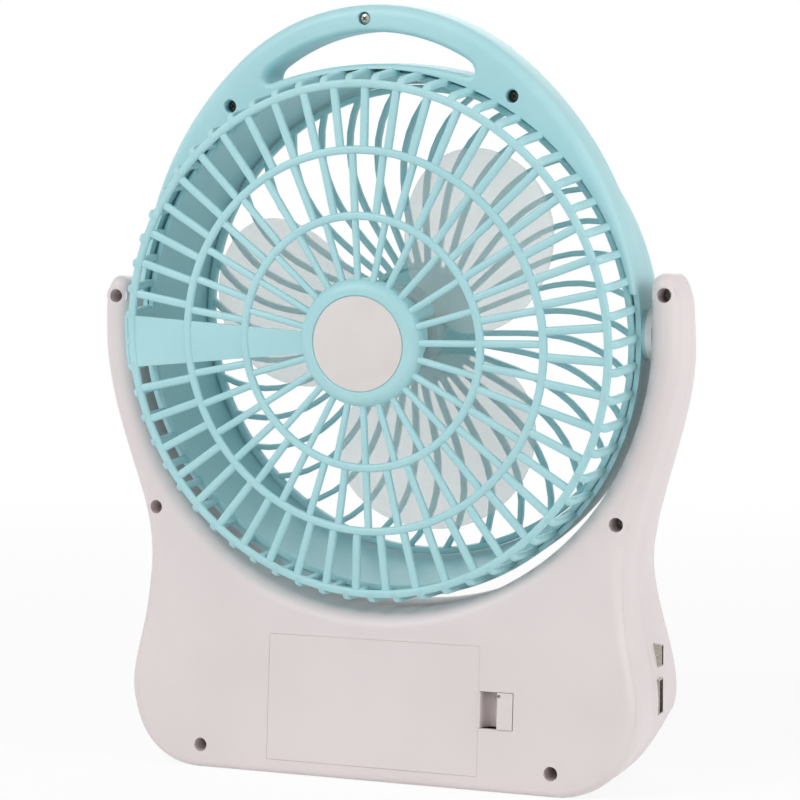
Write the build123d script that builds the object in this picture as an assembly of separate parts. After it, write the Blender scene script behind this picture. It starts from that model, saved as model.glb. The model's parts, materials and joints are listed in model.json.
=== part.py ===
from build123d import *
import os
from math import atan, atan2, cos, degrees, hypot, pi, radians, sin, sqrt

# Rechargeable desk fan, millimetres. +Z up, the air leaves towards -Y, the rear grille faces +Y.
# The origin is the middle of the flat underside of the stand.

# Stand: overall form
stand_depth = 73.0
bulge_inset = 12.0
bulge_z = 27.0
corner_radius = 26.0
waist_depth = 6.5
waist_z = 82.0
arm_width = 11.0
arm_straight_drop = 1.8
arm_shoulder_rise = 8.2
arm_top_rise = 22.2
arm_tip_radius = 5.4
least_tip_radius = 0.8
rear_lean_top_z = 92.0
rear_arm_y = 29.4
front_arm_y = 0.0
rear_kink_radius = 150.0
rear_edge_radius = 4.5
front_edge_radius = 5.0
stand_wall = 2.2
parting_y = 10.5
seam_gap = 0.25

# Pivot of the head
pivot_y = 14.9
cradle_floor_z = 62.8
cradle_gap = 4.5
head_tilt = -6.19
trunnion_radius = 6.0
trunnion_bore_radius = 2.5
trunnion_reach = 5.6
trunnion_lift = 1.1
trunnion_pad_radius = 9.0
running_clearance = 0.05
bush_flange_radius = 9.5
bush_body_radius = 8.0
bush_face_gap = 0.4
friction_ring_radius = 8.4
friction_ring_gap = 0.1
clip_width = 0.8
clip_setback = 2.2
clip_groove_depth = 0.9
clip_radius = 8.4

# Stand screws: a pair in the arms, at the waist and near the floor
arm_screw_inset = 5.3
arm_screw_rise = 14.2
waist_screw_inset = 4.5
waist_screw_z = 99.6
foot_screw_gap = 12.4
foot_screw_z = 8.8
screw_hole_radius = 2.65
screw_boss_wall = 1.9
screw_seat_depth_y = 19.0
screw_head_radius = 2.45
screw_head_height = 1.9
screw_shank_radius = 1.25
screw_reach = 17.0
screw_clearance = 0.15
pilot_clearance = 0.05
pilot_overrun = 1.0

# Battery door on the rear face, measured along that face
door_half_width = 42.6
door_bottom = 5.5
door_top = 53.4
door_gap = 0.35
latch_bottom = 20.0
latch_top = 37.0
latch_reach = 12.6
latch_tongue_width = 5.6
latch_depth = 9.0
latch_leaf = 1.4
tab_reach = 3.0
tab_height = 7.0
tab_thickness = 1.4
tray_room = 2.6
tray_rib_drop = 4.0
tray_wall = 1.2
tray_margin = 4.0
tray_lip = 0.1

# Cells in the tray
cell_radius = 9.2
cell_length = 65.0
cell_spacing = 1.2
cell_nub_radius = 2.8
cell_nub_height = 1.0
contact_thickness = 0.6
contact_size = 9.0
contact_spring_length = 3.0

# Charging and output board with its two sockets, in the side wall
board_length = 36.0
board_bottom = 20.0
board_top = 62.0
board_thickness = 1.6
board_face_y = 0.7
board_wall_gap = 0.6
board_post_inset = 5.0
usb_z = 34.0
usb_height = 13.2
usb_width = 5.8
usb_length = 14.0
usb_wall = 0.5
usb_tongue = 1.8
micro_z = 49.0
micro_height = 8.0
micro_width = 2.8
micro_length = 6.0
micro_wall = 0.4
micro_tongue = 0.6
tongue_setback = 2.0
port_clearance = 0.35
post_radius = 3.2
board_screw_reach = 10.0

# Speed dial and rotary switch on the front slope
dial_radius = 15.0
dial_height = 9.0
dial_skirt = 2.0
dial_up_slope = 30.0
dial_face_gap = 0.5
dial_grip_inset = 1.5
dial_crown_inset = 3.5
dial_crown_wall = 2.0
flute_count = 12
flute_radius = 1.6
flute_inset = 1.2
pointer_width = 1.6
pointer_length = 8.0
pointer_depth = 1.0
pointer_rest_turn = 67.5
spindle_radius = 3.0
switch_side = 17.0
switch_depth = 11.0
switch_corner = 2.0
spindle_bite = 3.0
spindle_room = 0.2
pin_count = 4
pin_pitch = 4.2
pin_width = 1.6
pin_thickness = 0.6
pin_length = 4.0
pin_drop = 5.0

# Head: drum, handle and their split
drum_radius = 100.5
drum_wall = 3.5
drum_front_y = -35.0
drum_front_inset = 4.8
drum_shoulder_inset = 2.4
drum_shoulder_length = 8.0
drum_taper_y = -13.0
drum_lip = 2.7
head_split_y = 6.3
head_rear_y = 13.4
handle_front_y = -6.6
handle_rise = 22.2
handle_narrowing = 17.5
handle_side_widening = 29.5
handle_edge = 1.2
grip_half = 41.0
handle_bar = 9.9
grip_top_radius = 72.0
grip_sill = 0.7
grip_bottom_radius = 137.0
grip_end_radius = 2.2
handle_screw_lift = 3.44
handle_screw_angle = 57.33
handle_top_screw_drop = 5.0
handle_screw_cover = 3.0
handle_hole_radius = 2.4
handle_seat_y = 8.6

# Rear grille
inner_ring_radius = 46.7
middle_ring_radius = 70.6
rim_ring_inset = 3.5
ring_width = 2.7
ring_rear_y = 31.2
ring_thickness = 2.2
spoke_counts = [24, 36, 48]
spoke_width = 2.3
spoke_rear_y = 30.7
spoke_thickness = 2.5
spoke_bite = 1.5
side_bar_count = 60
side_bar_width = 2.5
side_bar_thickness = 2.2
side_bar_lift = 0.6
side_bar_drop = 0.4
side_bar_overlap = 2.5
band_inset = 2.2
band_seat_clearance = 0.3
band_width = 2.4
band_front_y = 7.0
band_rear_y = 13.0
hub_radius = 24.0
hub_rear_y = 33.0
hub_front_y = 27.0
hub_floor = 2.5
hub_crown_inset = 3.5
hub_crown_drop = 0.3
hub_edge_inset = 0.8
hub_edge_drop = 2.2
channel_rim_width = 20.0
channel_hub_width = 8.0
channel_thickness = 1.8
channel_drop = 0.2
channel_half_angle = 4.0
channel_bite = 3.0
label_radius = 17.6
label_thickness = 0.4
label_recess = 0.6
label_clearance = 0.3

# Motor
motor_radius = 13.8
motor_front_y = -2.0
motor_rear_y = 29.0
motor_wall = 0.8
motor_cap = 2.0
motor_cap_skin = 0.6
press_clearance = 0.02
cup_clearance = 0.3
cup_wall = 1.8
cup_front_y = 4.0
shaft_radius = 1.2
shaft_front_y = -16.0
bearing_radius = 3.0
bearing_length = 4.0
bearing_wall = 1.2
bearing_lead = 1.2
rear_bearing_trim = 0.8
magnet_thickness = 3.0
magnet_angle = 140.0
magnet_front_gap = 4.0
magnet_rear_gap = 8.0
armature_radius = 9.2
armature_length = 15.0
armature_shift = 1.0
armature_slot = 2.2
commutator_radius = 3.2
commutator_length = 4.0
shaft_rear_gap = 1.0
retainer_thickness = 2.0
retainer_clearance = 0.1
retainer_screw_count = 3
retainer_screw_angle = 30.0
retainer_screw_radius = 18.4
ear_radius = 3.0
ear_bite = 0.5
motor_screw_radius = 1.0
motor_screw_head_radius = 2.2
motor_screw_head = 1.6
motor_screw_reach = 8.0
motor_hole_clearance = 0.3
lead_radius = 1.2
lead_y = 25.0
lead_slot = 1.8
lead_bend = 4.0
lead_wall_gap = 5.5
lead_end_gap = 3.0
lead_overlap = 0.6

# Fan rotor
blade_count = 3
blade_tip_gap = 17.5
blade_first_angle = 12.0
blade_y = -10.0
blade_thickness = 1.6
blade_half_chord = 35.0
blade_root_radius = 13.0
blade_tip_slope = 0.24
blade_root_slope = 0.75
blade_camber = 2.5
blade_margin = 4.0
blade_start_radius = 6.0
blade_rows = 8
blade_columns = 9
blade_root_share = 0.7
blade_root_bite = 2.0
blade_root_inset = 5.0
fan_hub_radius = 17.0
fan_hub_front_y = -20.0
fan_hub_rear_y = -5.0
fan_hub_wall = 2.0
fan_core_radius = 4.5
fan_hub_bevel = 3.0
fan_hub_front_wall = 2.0

# Front grille
front_spoke_count = 36
front_spoke_width = 2.2
front_spoke_depth = 3.6
front_spoke_lag = 6.0
front_spoke_bulge = 5.0
front_hub_radius = 24.0
front_ring_width = 2.6
front_ring_clearance = 0.3
front_rear_y = -30.6
front_rim_setback = 0.2
front_spoke_setback = 0.6
front_cap_rise = 1.4
front_cap_edge_rise = 0.6
front_cap_edge_inset = 5.0
front_cap_bevel = 1.6
front_cap_wall = 2.0
front_cap_thickness = 2.8
front_cap_skirt_depth = 2.6


# Derived places
cradle_radius = drum_radius + cradle_gap
pivot_z = cradle_floor_z + cradle_radius
stand_height = pivot_z + arm_top_rise
arm_half = cradle_radius + arm_width
arm_straight_z = pivot_z - arm_straight_drop
arm_shoulder_z = pivot_z + arm_shoulder_rise
bulge_half = arm_half - bulge_inset
waist_half = bulge_half - waist_depth
trunnion_end = cradle_radius + trunnion_reach
clip_start = trunnion_end - clip_setback
drum_inner_radius = drum_radius - drum_wall
drum_front_radius = drum_radius - drum_front_inset
drum_lip_radius = drum_front_radius - drum_lip
handle_top_z = drum_radius + handle_rise
handle_radius = drum_radius - handle_narrowing
handle_side_radius = drum_radius + handle_side_widening
handle_centre_z = handle_top_z - handle_radius
grip_top_z = handle_top_z - handle_bar
grip_bottom_z = drum_radius + grip_sill
handle_screw_reach = drum_radius + handle_screw_lift
handle_top_screw_z = handle_top_z - handle_top_screw_drop
band_radius = drum_radius - band_inset
ring_radii = [inner_ring_radius, middle_ring_radius, band_radius - rim_ring_inset]
blade_tip_radius = drum_inner_radius - blade_tip_gap
tray_depth = 2 * cell_radius + tray_room
cell_pitch = 2 * cell_radius + cell_spacing
tray_edge_x = door_half_width + latch_reach + tray_margin / 2 + tray_wall
screw_pairs = [
    (cradle_radius + arm_screw_inset, pivot_z + arm_screw_rise),
    (waist_half - waist_screw_inset, waist_screw_z),
    (tray_edge_x + foot_screw_gap, foot_screw_z),
]
stand_front_y = -stand_depth / 2
stand_rear_y = stand_depth / 2
rear_lean = degrees(atan((stand_rear_y - rear_arm_y) / rear_lean_top_z))
front_lean = degrees(atan((front_arm_y - stand_front_y) / stand_height))
rear_plane = Plane(
    origin=(0, stand_rear_y, 0),
    x_dir=(-1, 0, 0),
    z_dir=(0, cos(radians(rear_lean)), sin(radians(rear_lean))),
)
front_plane = Plane(
    origin=(0, stand_front_y, 0),
    x_dir=(1, 0, 0),
    z_dir=(0, -cos(radians(front_lean)), sin(radians(front_lean))),
)
head_place = Location((0, pivot_y, pivot_z), (head_tilt, 0, 0))
seat_radius = band_radius + band_seat_clearance
cup_radius = motor_radius + cup_clearance
port_x = -bulge_half
board_edge_x = -(waist_half - stand_wall - board_wall_gap)
bush_back_x = sqrt(cradle_radius**2 - bush_flange_radius**2) - running_clearance


def slab(sketch, low_y, high_y):
    # A flat outline in X and Z, carried along Y
    return Pos(0, high_y, 0) * extrude(Plane.XZ * sketch, amount=high_y - low_y, dir=(0, -1, 0))


def disc(radius, low_y, high_y):
    return slab(Circle(radius), low_y, high_y)


def tube(outer, inner, low_y, high_y):
    return slab(Circle(outer) - Circle(inner), low_y, high_y)


def turned(points):
    # A closed outline of radius and Y, turned about the Y axis
    return revolve(make_face(Polyline(*points, close=True)), Axis.Y)


def at_angle(angle):
    # Turns a piece that lies along +X to an angle measured from +X towards +Z
    return Rot(0, -angle, 0)


def side_rod(radius, low_x, high_x):
    return Pos(low_x, 0, 0) * extrude(Plane.YZ * Circle(radius), amount=high_x - low_x, dir=(1, 0, 0))


def both_sides(solid):
    return [solid, mirror(solid, Plane.YZ)]


# Stand form: the front outline carried through the side profile
def stand_outline(inset):
    half = [
        Line((0, inset), (bulge_half - corner_radius, inset)),
        JernArc((bulge_half - corner_radius, inset), (1, 0), corner_radius - inset, 90),
        Line((bulge_half - inset, corner_radius), (bulge_half - inset, bulge_z)),
        Spline(
            (bulge_half - inset, bulge_z),
            (waist_half - inset, waist_z),
            (arm_half - inset, arm_straight_z),
            tangents=((0, 1), (0, 1)),
        ),
        Line((arm_half - inset, arm_straight_z), (arm_half - inset, arm_shoulder_z)),
    ]
    inner = cradle_radius + inset
    tip = max(arm_tip_radius - inset, least_tip_radius)
    top = stand_height - inset
    half += [
        Spline(
            (arm_half - inset, arm_shoulder_z),
            (inner + tip, top),
            tangents=((0, 1), (-1, 0)),
        ),
        JernArc((inner + tip, top), (-1, 0), tip, 90),
        Line((inner, top - tip), (inner, pivot_z)),
        ThreePointArc(
            (inner, pivot_z),
            (inner * cos(pi / 4), pivot_z - inner * sin(pi / 4)),
            (0, pivot_z - inner),
        ),
        Line((0, pivot_z - inner), (0, inset)),
    ]
    right = make_face(half)
    return right + mirror(right, Plane.YZ)


def stand_profile(inset):
    corner = [
        (stand_front_y + inset / cos(radians(front_lean)), 0),
        (stand_rear_y - inset / cos(radians(rear_lean)), 0),
        (rear_arm_y - inset, rear_lean_top_z),
        (rear_arm_y - inset, stand_height),
        (front_arm_y + inset / cos(radians(front_lean)), stand_height),
    ]
    face = make_face(Polyline(*corner, close=True))
    kink = [v for v in face.vertices() if abs(v.Y - rear_lean_top_z) < 1e-6]
    return fillet(kink, rear_kink_radius)


def stand_form(inset):
    width = extrude(Plane.XZ * stand_outline(inset), amount=stand_depth, both=True)
    depth = extrude(Plane.YZ * stand_profile(inset), amount=arm_half + stand_wall, both=True)
    return width & depth


def face_edges(solid, low_y_side):
    # The closed run of edges round the front or the rear of the stand
    def on_side(edge):
        spot = edge.position_at(0.5)
        lean_y = stand_front_y + (front_arm_y - stand_front_y) * spot.Z / stand_height
        return abs(spot.Y - lean_y) < 0.01
    def on_rear(edge):
        spot = edge.position_at(0.5)
        lean_y = stand_rear_y - (stand_rear_y - rear_arm_y) * spot.Z / rear_lean_top_z
        return abs(spot.Y - max(lean_y, rear_arm_y)) < 0.6
    edges = solid.edges().filter_by(on_side if low_y_side else on_rear)
    return [e for e in edges if e.length > 0.5 and not is_cross(e)]


def is_cross(edge):
    # Edges that run straight across the rear face at its gentle bend
    ends = edge.position_at(1) - edge.position_at(0)
    flat = abs(ends.Z) < 0.01 and abs(ends.Y) < 0.01
    return flat and edge.position_at(0.5).Z > 5 and edge.position_at(0.5).Z < stand_height - 5


def stand_body():
    body = stand_form(0)
    body = fillet(face_edges(body, False), rear_edge_radius)
    return fillet(face_edges(body, True), front_edge_radius)


def half_space(low_y, high_y):
    span = 2 * (arm_half + stand_height)
    return Pos(0, (low_y + high_y) / 2, 0) * Box(span, high_y - low_y, 2 * span)


def screw_places():
    for half, z in screw_pairs:
        yield Pos(half, 0, z)
        yield Pos(-half, 0, z)


def door_cut(gap):
    # The door's outline on the rear face, with the notch for its latch
    width = 2 * (door_half_width + gap)
    panel = Pos(0, (door_bottom + door_top) / 2) * Rectangle(width, door_top - door_bottom + 2 * gap)
    notch_width = latch_reach + gap
    notch = Pos(door_half_width + notch_width / 2, (latch_bottom + latch_top) / 2) * Rectangle(
        notch_width, latch_top - latch_bottom + 2 * gap
    )
    return panel + notch


def on_rear(sketch, inner, outer):
    # Carries an outline on the rear face from one depth to another, measured outwards
    return extrude(rear_plane * Pos(0, 0, inner) * sketch, amount=outer - inner, dir=rear_plane.z_dir)


def on_front(sketch, inner, outer):
    return extrude(front_plane * Pos(0, 0, inner) * sketch, amount=outer - inner, dir=front_plane.z_dir)


def port_cut(z, height, width, centre_y):
    depth = 4 * stand_wall + 2 * front_edge_radius
    return Pos(port_x, centre_y, z) * Box(depth, width + 2 * port_clearance, height + 2 * port_clearance)


def base_shells():
    outer = stand_body()
    shell = outer - stand_form(stand_wall)
    boss_radius = screw_hole_radius + screw_boss_wall
    front_y = parting_y - seam_gap / 2
    rear_y = parting_y + seam_gap / 2
    front = shell & half_space(-stand_depth, front_y)
    rear = shell & half_space(rear_y, stand_depth)

    posts = [place * disc(boss_radius, -stand_depth, front_y) for place in screw_places()]
    sleeves = [place * disc(boss_radius, rear_y, stand_depth) for place in screw_places()]
    front += [post & outer for post in posts]
    rear += [sleeve & outer for sleeve in sleeves]
    pilot_y = screw_seat_depth_y - screw_reach - pilot_overrun
    pilot_radius = screw_shank_radius + pilot_clearance
    front -= [place * disc(pilot_radius, pilot_y, front_y + 1) for place in screw_places()]
    rear -= [place * disc(screw_hole_radius, screw_seat_depth_y, stand_depth) for place in screw_places()]
    rear -= [place * disc(screw_shank_radius + screw_clearance, 0, stand_depth) for place in screw_places()]

    bush_hole = bush_body_radius + running_clearance
    wall = side_rod(bush_hole, cradle_radius - 1, cradle_radius + stand_wall + 1)
    holes = both_sides(Pos(0, pivot_y, pivot_z) * wall)
    front -= holes
    rear -= holes

    rear -= on_rear(door_cut(door_gap), -2 * stand_wall, stand_wall)
    front -= port_cut(usb_z, usb_height, usb_width, board_face_y + usb_width / 2)
    front -= port_cut(micro_z, micro_height, micro_width, board_face_y + micro_width / 2)
    spindle_hole = Pos(0, dial_up_slope) * Circle(spindle_radius + 2 * running_clearance)
    front -= on_front(spindle_hole, -2 * stand_wall, stand_wall)

    for x, z in board_posts():
        post = Pos(x, 0, z) * disc(post_radius, -stand_depth, board_face_y - board_thickness)
        front += post & outer
        pilot_y = board_face_y - board_screw_reach - pilot_overrun
        front -= Pos(x, 0, z) * disc(pilot_radius, pilot_y, board_face_y)
    return front, rear


def board_posts():
    yield board_edge_x + board_length - board_post_inset, board_bottom + board_post_inset
    yield board_edge_x + board_length - board_post_inset, board_top - board_post_inset


def base_screws():
    screws = []
    for place in screw_places():
        head = disc(screw_head_radius, screw_seat_depth_y, screw_seat_depth_y + screw_head_height)
        shank = disc(screw_shank_radius, screw_seat_depth_y - screw_reach, screw_seat_depth_y)
        screws.append(place * (head + shank))
    return screws


def pivot_bushes():
    flange_face = drum_radius + trunnion_lift + bush_face_gap
    flange = side_rod(bush_flange_radius, flange_face, bush_back_x)
    body = side_rod(bush_body_radius, bush_back_x, cradle_radius + stand_wall)
    bore = side_rod(trunnion_radius + running_clearance, flange_face - 1, cradle_radius + stand_wall + 1)
    return both_sides(Pos(0, pivot_y, pivot_z) * (flange + body - bore))


def friction_rings():
    start = cradle_radius + stand_wall
    ring = side_rod(friction_ring_radius, start, clip_start - friction_ring_gap)
    ring -= side_rod(trunnion_radius + running_clearance, start - 1, clip_start + 1)
    return both_sides(Pos(0, pivot_y, pivot_z) * ring)


# Battery door, tray, cells and contacts
def battery_door():
    panel_height = door_top - door_bottom
    panel = on_rear(Pos(0, door_bottom + panel_height / 2) * Rectangle(2 * door_half_width, panel_height),
                    -stand_wall, 0)
    latch_height = latch_top - latch_bottom - 1
    mid = (latch_bottom + latch_top) / 2
    tongue_end = door_half_width + latch_reach
    inner_leg = door_half_width - latch_leaf
    outer_leg = tongue_end - latch_tongue_width / 2
    def leaf(low_x, high_x, inner, outer):
        sketch = Pos((low_x + high_x) / 2, mid) * Rectangle(high_x - low_x, latch_height)
        return on_rear(sketch, inner, outer)
    latch = [
        leaf(inner_leg, door_half_width, -latch_depth, -stand_wall / 2),
        leaf(inner_leg, outer_leg + latch_leaf, -latch_depth, latch_leaf - latch_depth),
        leaf(outer_leg, outer_leg + latch_leaf, -latch_depth, -latch_leaf / 2),
        leaf(tongue_end - latch_tongue_width, tongue_end, -latch_leaf, 0),
    ]
    tabs = []
    for y in (door_bottom + panel_height / 4, door_top - panel_height / 4):
        length = tab_reach + 2 * door_gap + tab_height
        centre = -door_half_width + tab_height - length / 2
        under = -stand_wall - door_gap
        foot = Pos(centre, y) * Rectangle(length, tab_height)
        tabs.append(on_rear(foot, under - tab_thickness, under))
        neck = Pos(-door_half_width + tab_height / 2, y) * Rectangle(tab_height, tab_height)
        tabs.append(on_rear(neck, under - tab_thickness, -stand_wall / 2))
    return panel + latch + tabs


def tray_box(grow):
    low_x = -door_half_width - tray_margin - grow
    high_x = door_half_width + latch_reach + tray_margin / 2 + grow
    low_y = door_bottom - tray_lip - grow
    high_y = door_top + tray_lip + grow
    return Pos((low_x + high_x) / 2, (low_y + high_y) / 2) * Rectangle(high_x - low_x, high_y - low_y)


def cell_rows():
    mid = (door_bottom + door_top) / 2
    yield mid - cell_pitch / 2
    yield mid + cell_pitch / 2


def rib_face():
    return cell_length / 2 + cell_nub_height + contact_thickness + contact_spring_length / 2


def battery_tray():
    tray = on_rear(tray_box(tray_wall), -stand_wall - tray_depth, -stand_wall)
    tray -= on_rear(tray_box(0), -stand_wall - tray_depth + tray_wall, 0)
    height = door_top - door_bottom + 2 * tray_lip + tray_wall
    mid = (door_bottom + door_top) / 2
    for side in (-1, 1):
        rib = Pos(side * (rib_face() + tray_wall / 2), mid) * Rectangle(tray_wall, height)
        tray += on_rear(rib, -stand_wall - tray_depth + tray_wall / 2, -stand_wall - tray_rib_drop)
    return tray


def cell_depth():
    return -stand_wall - tray_depth + tray_wall + cell_radius


def along_row(radius, low_x, high_x, row):
    # A round bar that lies across the rear face, at a cell's height and depth
    plane = Plane(
        origin=rear_plane.from_local_coords(Vector(low_x, row, cell_depth())),
        x_dir=(0, 0, 1),
        z_dir=(-1, 0, 0),
    )
    return extrude(plane * Circle(radius), amount=high_x - low_x, dir=(-1, 0, 0))


def row_ends():
    # Each cell's low and high end across the tray, with the sign of its nub
    for row, sign in zip(cell_rows(), (1, -1)):
        shift = sign * (contact_spring_length - cell_nub_height) / 2
        yield row, shift - cell_length / 2, shift + cell_length / 2, sign


def battery_cells():
    cells = []
    for row, low, high, sign in row_ends():
        cell = along_row(cell_radius, low, high, row)
        if sign > 0:
            cell += along_row(cell_nub_radius, high, high + cell_nub_height, row)
        else:
            cell += along_row(cell_nub_radius, low - cell_nub_height, low, row)
        cells.append(cell)
    return cells


def battery_contacts():
    contacts = []
    face = rib_face()
    for row, low, high, sign in row_ends():
        for side in (-1, 1):
            plate_low = side * face - (contact_thickness if side > 0 else 0)
            sketch = Pos(plate_low + contact_thickness / 2, row) * Rectangle(contact_thickness, contact_size)
            plate = on_rear(sketch, cell_depth() - contact_size / 2, cell_depth() + contact_size / 2)
            inner = side * (face - contact_thickness)
            end = high if side > 0 else low
            if side == sign:
                end += side * cell_nub_height
            if abs(inner - end) > 0.05:
                spring = along_row(cell_nub_radius, min(inner, end), max(inner, end), row)
                plate += spring
            contacts.append(plate)
    return contacts


# Board and sockets
def board_outline():
    centre = (board_edge_x + board_length / 2, (board_bottom + board_top) / 2)
    return Pos(*centre) * Rectangle(board_length, board_top - board_bottom)


def control_board():
    board = slab(board_outline(), board_face_y - board_thickness, board_face_y)
    for x, z in board_posts():
        board -= Pos(x, 0, z) * disc(screw_shank_radius + screw_clearance, -stand_depth, stand_depth)
    return board


def board_screws():
    screws = []
    for x, z in board_posts():
        head = disc(screw_head_radius, board_face_y, board_face_y + screw_head_height)
        shank = disc(screw_shank_radius, board_face_y - board_screw_reach, board_face_y)
        screws.append(Pos(x, 0, z) * (head + shank))
    return screws


def socket(z, height, width, length, wall, tongue):
    # A folded metal shell lying on the board, open at the side wall, with its contact tongue
    mouth_x = port_x + stand_wall / 4
    centre = Pos(mouth_x + length / 2, board_face_y + width / 2, z)
    shell = centre * Box(length, width, height)
    shell -= centre * Pos(-wall, 0, 0) * Box(length, width - 2 * wall, height - 2 * wall)
    blade = Box(length - tongue_setback, tongue, height - 4 * wall)
    return shell + centre * Pos(tongue_setback / 2, width / 2 - wall - tongue, 0) * blade


def usb_socket():
    return socket(usb_z, usb_height, usb_width, usb_length, usb_wall, usb_tongue)


def micro_socket():
    return socket(micro_z, micro_height, micro_width, micro_length, micro_wall, micro_tongue)


# Speed dial and switch on the front slope
def speed_dial():
    centre = Pos(0, dial_up_slope)
    skirt = on_front(centre * Circle(dial_radius), dial_face_gap, dial_face_gap + dial_skirt)
    low = front_plane * centre * Pos(0, 0, dial_face_gap + dial_skirt) * Circle(dial_radius - dial_grip_inset)
    high = front_plane * centre * Pos(0, 0, dial_height) * Circle(dial_radius - dial_crown_inset)
    knob = loft([low, high])
    flute = Circle(flute_radius)
    flutes = []
    reach = dial_radius - flute_inset
    for index in range(flute_count):
        turn = 2 * pi * index / flute_count
        spot = centre * Pos(reach * cos(turn), reach * sin(turn))
        flutes.append(on_front(spot * flute, dial_face_gap + dial_skirt, dial_height + 1))
    mark = Pos(0, dial_radius / 2) * Rectangle(pointer_width, pointer_length)
    mark = centre * Rot(0, 0, pointer_rest_turn) * mark
    pointer = on_front(mark, dial_height - pointer_depth, dial_height + 1)
    bore = on_front(centre * Circle(spindle_radius), 0, dial_height - dial_crown_wall)
    return skirt + knob - flutes - pointer - bore


def dial_spindle():
    round_bar = Pos(0, dial_up_slope) * Circle(spindle_radius)
    return on_front(round_bar, -stand_wall - spindle_bite, dial_height - dial_crown_wall)


def rotary_switch():
    centre = Pos(0, dial_up_slope)
    outline = centre * RectangleRounded(switch_side, switch_side, switch_corner)
    back = -stand_wall - switch_depth
    body = on_front(outline, back, -stand_wall)
    bore = centre * Circle(spindle_radius + running_clearance)
    body -= on_front(bore, -stand_wall - spindle_bite - spindle_room, 0)
    first_x = -pin_pitch * (pin_count - 1) / 2
    pins = []
    for index in range(pin_count):
        spot = Pos(first_x + pin_pitch * index, dial_up_slope - pin_drop)
        pins.append(on_front(spot * Rectangle(pin_width, pin_thickness), back - pin_length, back))
    return body + pins


# Head, in its own frame: the origin is the pivot, +Y along the air intake
def handle_outline():
    # An egg: the drum's circle below, the handle's smaller circle above, a large arc touching both on each side
    top_reach = handle_side_radius - handle_radius
    drum_reach = handle_side_radius - drum_radius
    side_z = (handle_centre_z**2 - top_reach**2 + drum_reach**2) / (2 * handle_centre_z)
    side = Vector(-sqrt(drum_reach**2 - side_z**2), side_z)
    middle = Vector(0, handle_centre_z)
    low = side * (-drum_radius / drum_reach)
    high = middle + (middle - side) * (handle_radius / top_reach)
    between = side + ((low + high) / 2 - side).normalized() * handle_side_radius
    def other(spot):
        return Vector(-spot.X, spot.Y)
    return make_face([
        ThreePointArc(other(low), (0, -drum_radius), low),
        ThreePointArc(low, between, high),
        ThreePointArc(high, (0, handle_top_z), other(high)),
        ThreePointArc(other(high), other(between), other(low)),
    ])


def grip_opening():
    # A lens for the fingers between two arcs, cut square at its ends and rounded there
    top_middle = grip_top_z - grip_top_radius
    bottom_middle = grip_bottom_z - grip_bottom_radius
    top_end = top_middle + sqrt(grip_top_radius**2 - grip_half**2)
    bottom_end = bottom_middle + sqrt(grip_bottom_radius**2 - grip_half**2)
    lens = make_face([
        ThreePointArc((-grip_half, top_end), (0, grip_top_z), (grip_half, top_end)),
        Line((grip_half, top_end), (grip_half, bottom_end)),
        ThreePointArc((grip_half, bottom_end), (0, grip_bottom_z), (-grip_half, bottom_end)),
        Line((-grip_half, bottom_end), (-grip_half, top_end)),
    ])
    return fillet(lens.vertices(), grip_end_radius)


def handle_screw_places():
    turn = radians(handle_screw_angle)
    x = handle_screw_reach * cos(turn)
    z = handle_screw_reach * sin(turn)
    yield Pos(x, 0, z)
    yield Pos(-x, 0, z)
    yield Pos(0, 0, handle_top_screw_z)


def front_housing():
    drum = turned([
        (drum_radius, head_split_y),
        (drum_radius, drum_taper_y),
        (drum_radius - drum_shoulder_inset, drum_front_y + drum_shoulder_length),
        (drum_front_radius, drum_front_y),
        (drum_lip_radius, drum_front_y),
        (drum_inner_radius, head_split_y),
    ])
    grip = handle_outline() - Circle(drum_radius - drum_wall / 2) - grip_opening()
    handle = slab(grip, handle_front_y, head_split_y)
    housing = drum + handle
    pad = side_rod(trunnion_pad_radius, drum_inner_radius, drum_radius + trunnion_lift)
    pad -= disc(2 * drum_radius, head_split_y, 2 * trunnion_pad_radius)
    pin = side_rod(trunnion_radius, drum_inner_radius, trunnion_end)
    groove = side_rod(trunnion_radius + 1, clip_start, clip_start + clip_width)
    groove -= side_rod(trunnion_radius - clip_groove_depth, clip_start - 1, clip_start + clip_width + 1)
    bore = side_rod(trunnion_bore_radius, drum_lip_radius - drum_wall, trunnion_end + 1)
    for side in (0, 180):
        housing += Rot(0, side, 0) * (pad + pin)
        housing -= Rot(0, side, 0) * (groove + bore)
    pilot_y = handle_front_y + handle_screw_cover - pilot_overrun
    for place in handle_screw_places():
        housing -= place * disc(screw_shank_radius + pilot_clearance, pilot_y, head_split_y + 1)
    return housing


def rear_housing():
    frame = slab(handle_outline() - grip_opening(), head_split_y, head_rear_y)
    rim = [e for e in frame.edges().filter_by(lambda e: abs(e.position_at(0.5).Y - head_rear_y) < 1e-4)]
    frame = fillet(rim, handle_edge)
    frame -= disc(seat_radius, head_split_y - 1, head_rear_y + 1)
    for place in handle_screw_places():
        frame -= place * disc(screw_shank_radius + screw_clearance, head_split_y - 1, head_rear_y)
        frame -= place * disc(handle_hole_radius, handle_seat_y, head_rear_y + 1)
    return frame


def handle_screws():
    screws = []
    for place in handle_screw_places():
        head = disc(handle_hole_radius - screw_clearance, handle_seat_y, handle_seat_y + screw_head_height)
        shank = disc(screw_shank_radius, handle_front_y + handle_screw_cover, handle_seat_y)
        screws.append(place * (head + shank))
    return screws


def trunnion_clips():
    clip = side_rod(clip_radius, clip_start, clip_start + clip_width)
    clip -= side_rod(trunnion_radius - clip_groove_depth + running_clearance, clip_start - 1, clip_start + 2)
    mouth = Pos(clip_start, 0, -clip_radius) * Box(4 * clip_width, trunnion_radius, 2 * clip_radius)
    clip -= mouth
    return [Rot(0, side, 0) * clip for side in (0, 180)]


def channel_flare(angle):
    # True where the cable channel takes the place of a spoke
    return abs((angle + 180) % 360 - 180) < channel_half_angle


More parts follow.
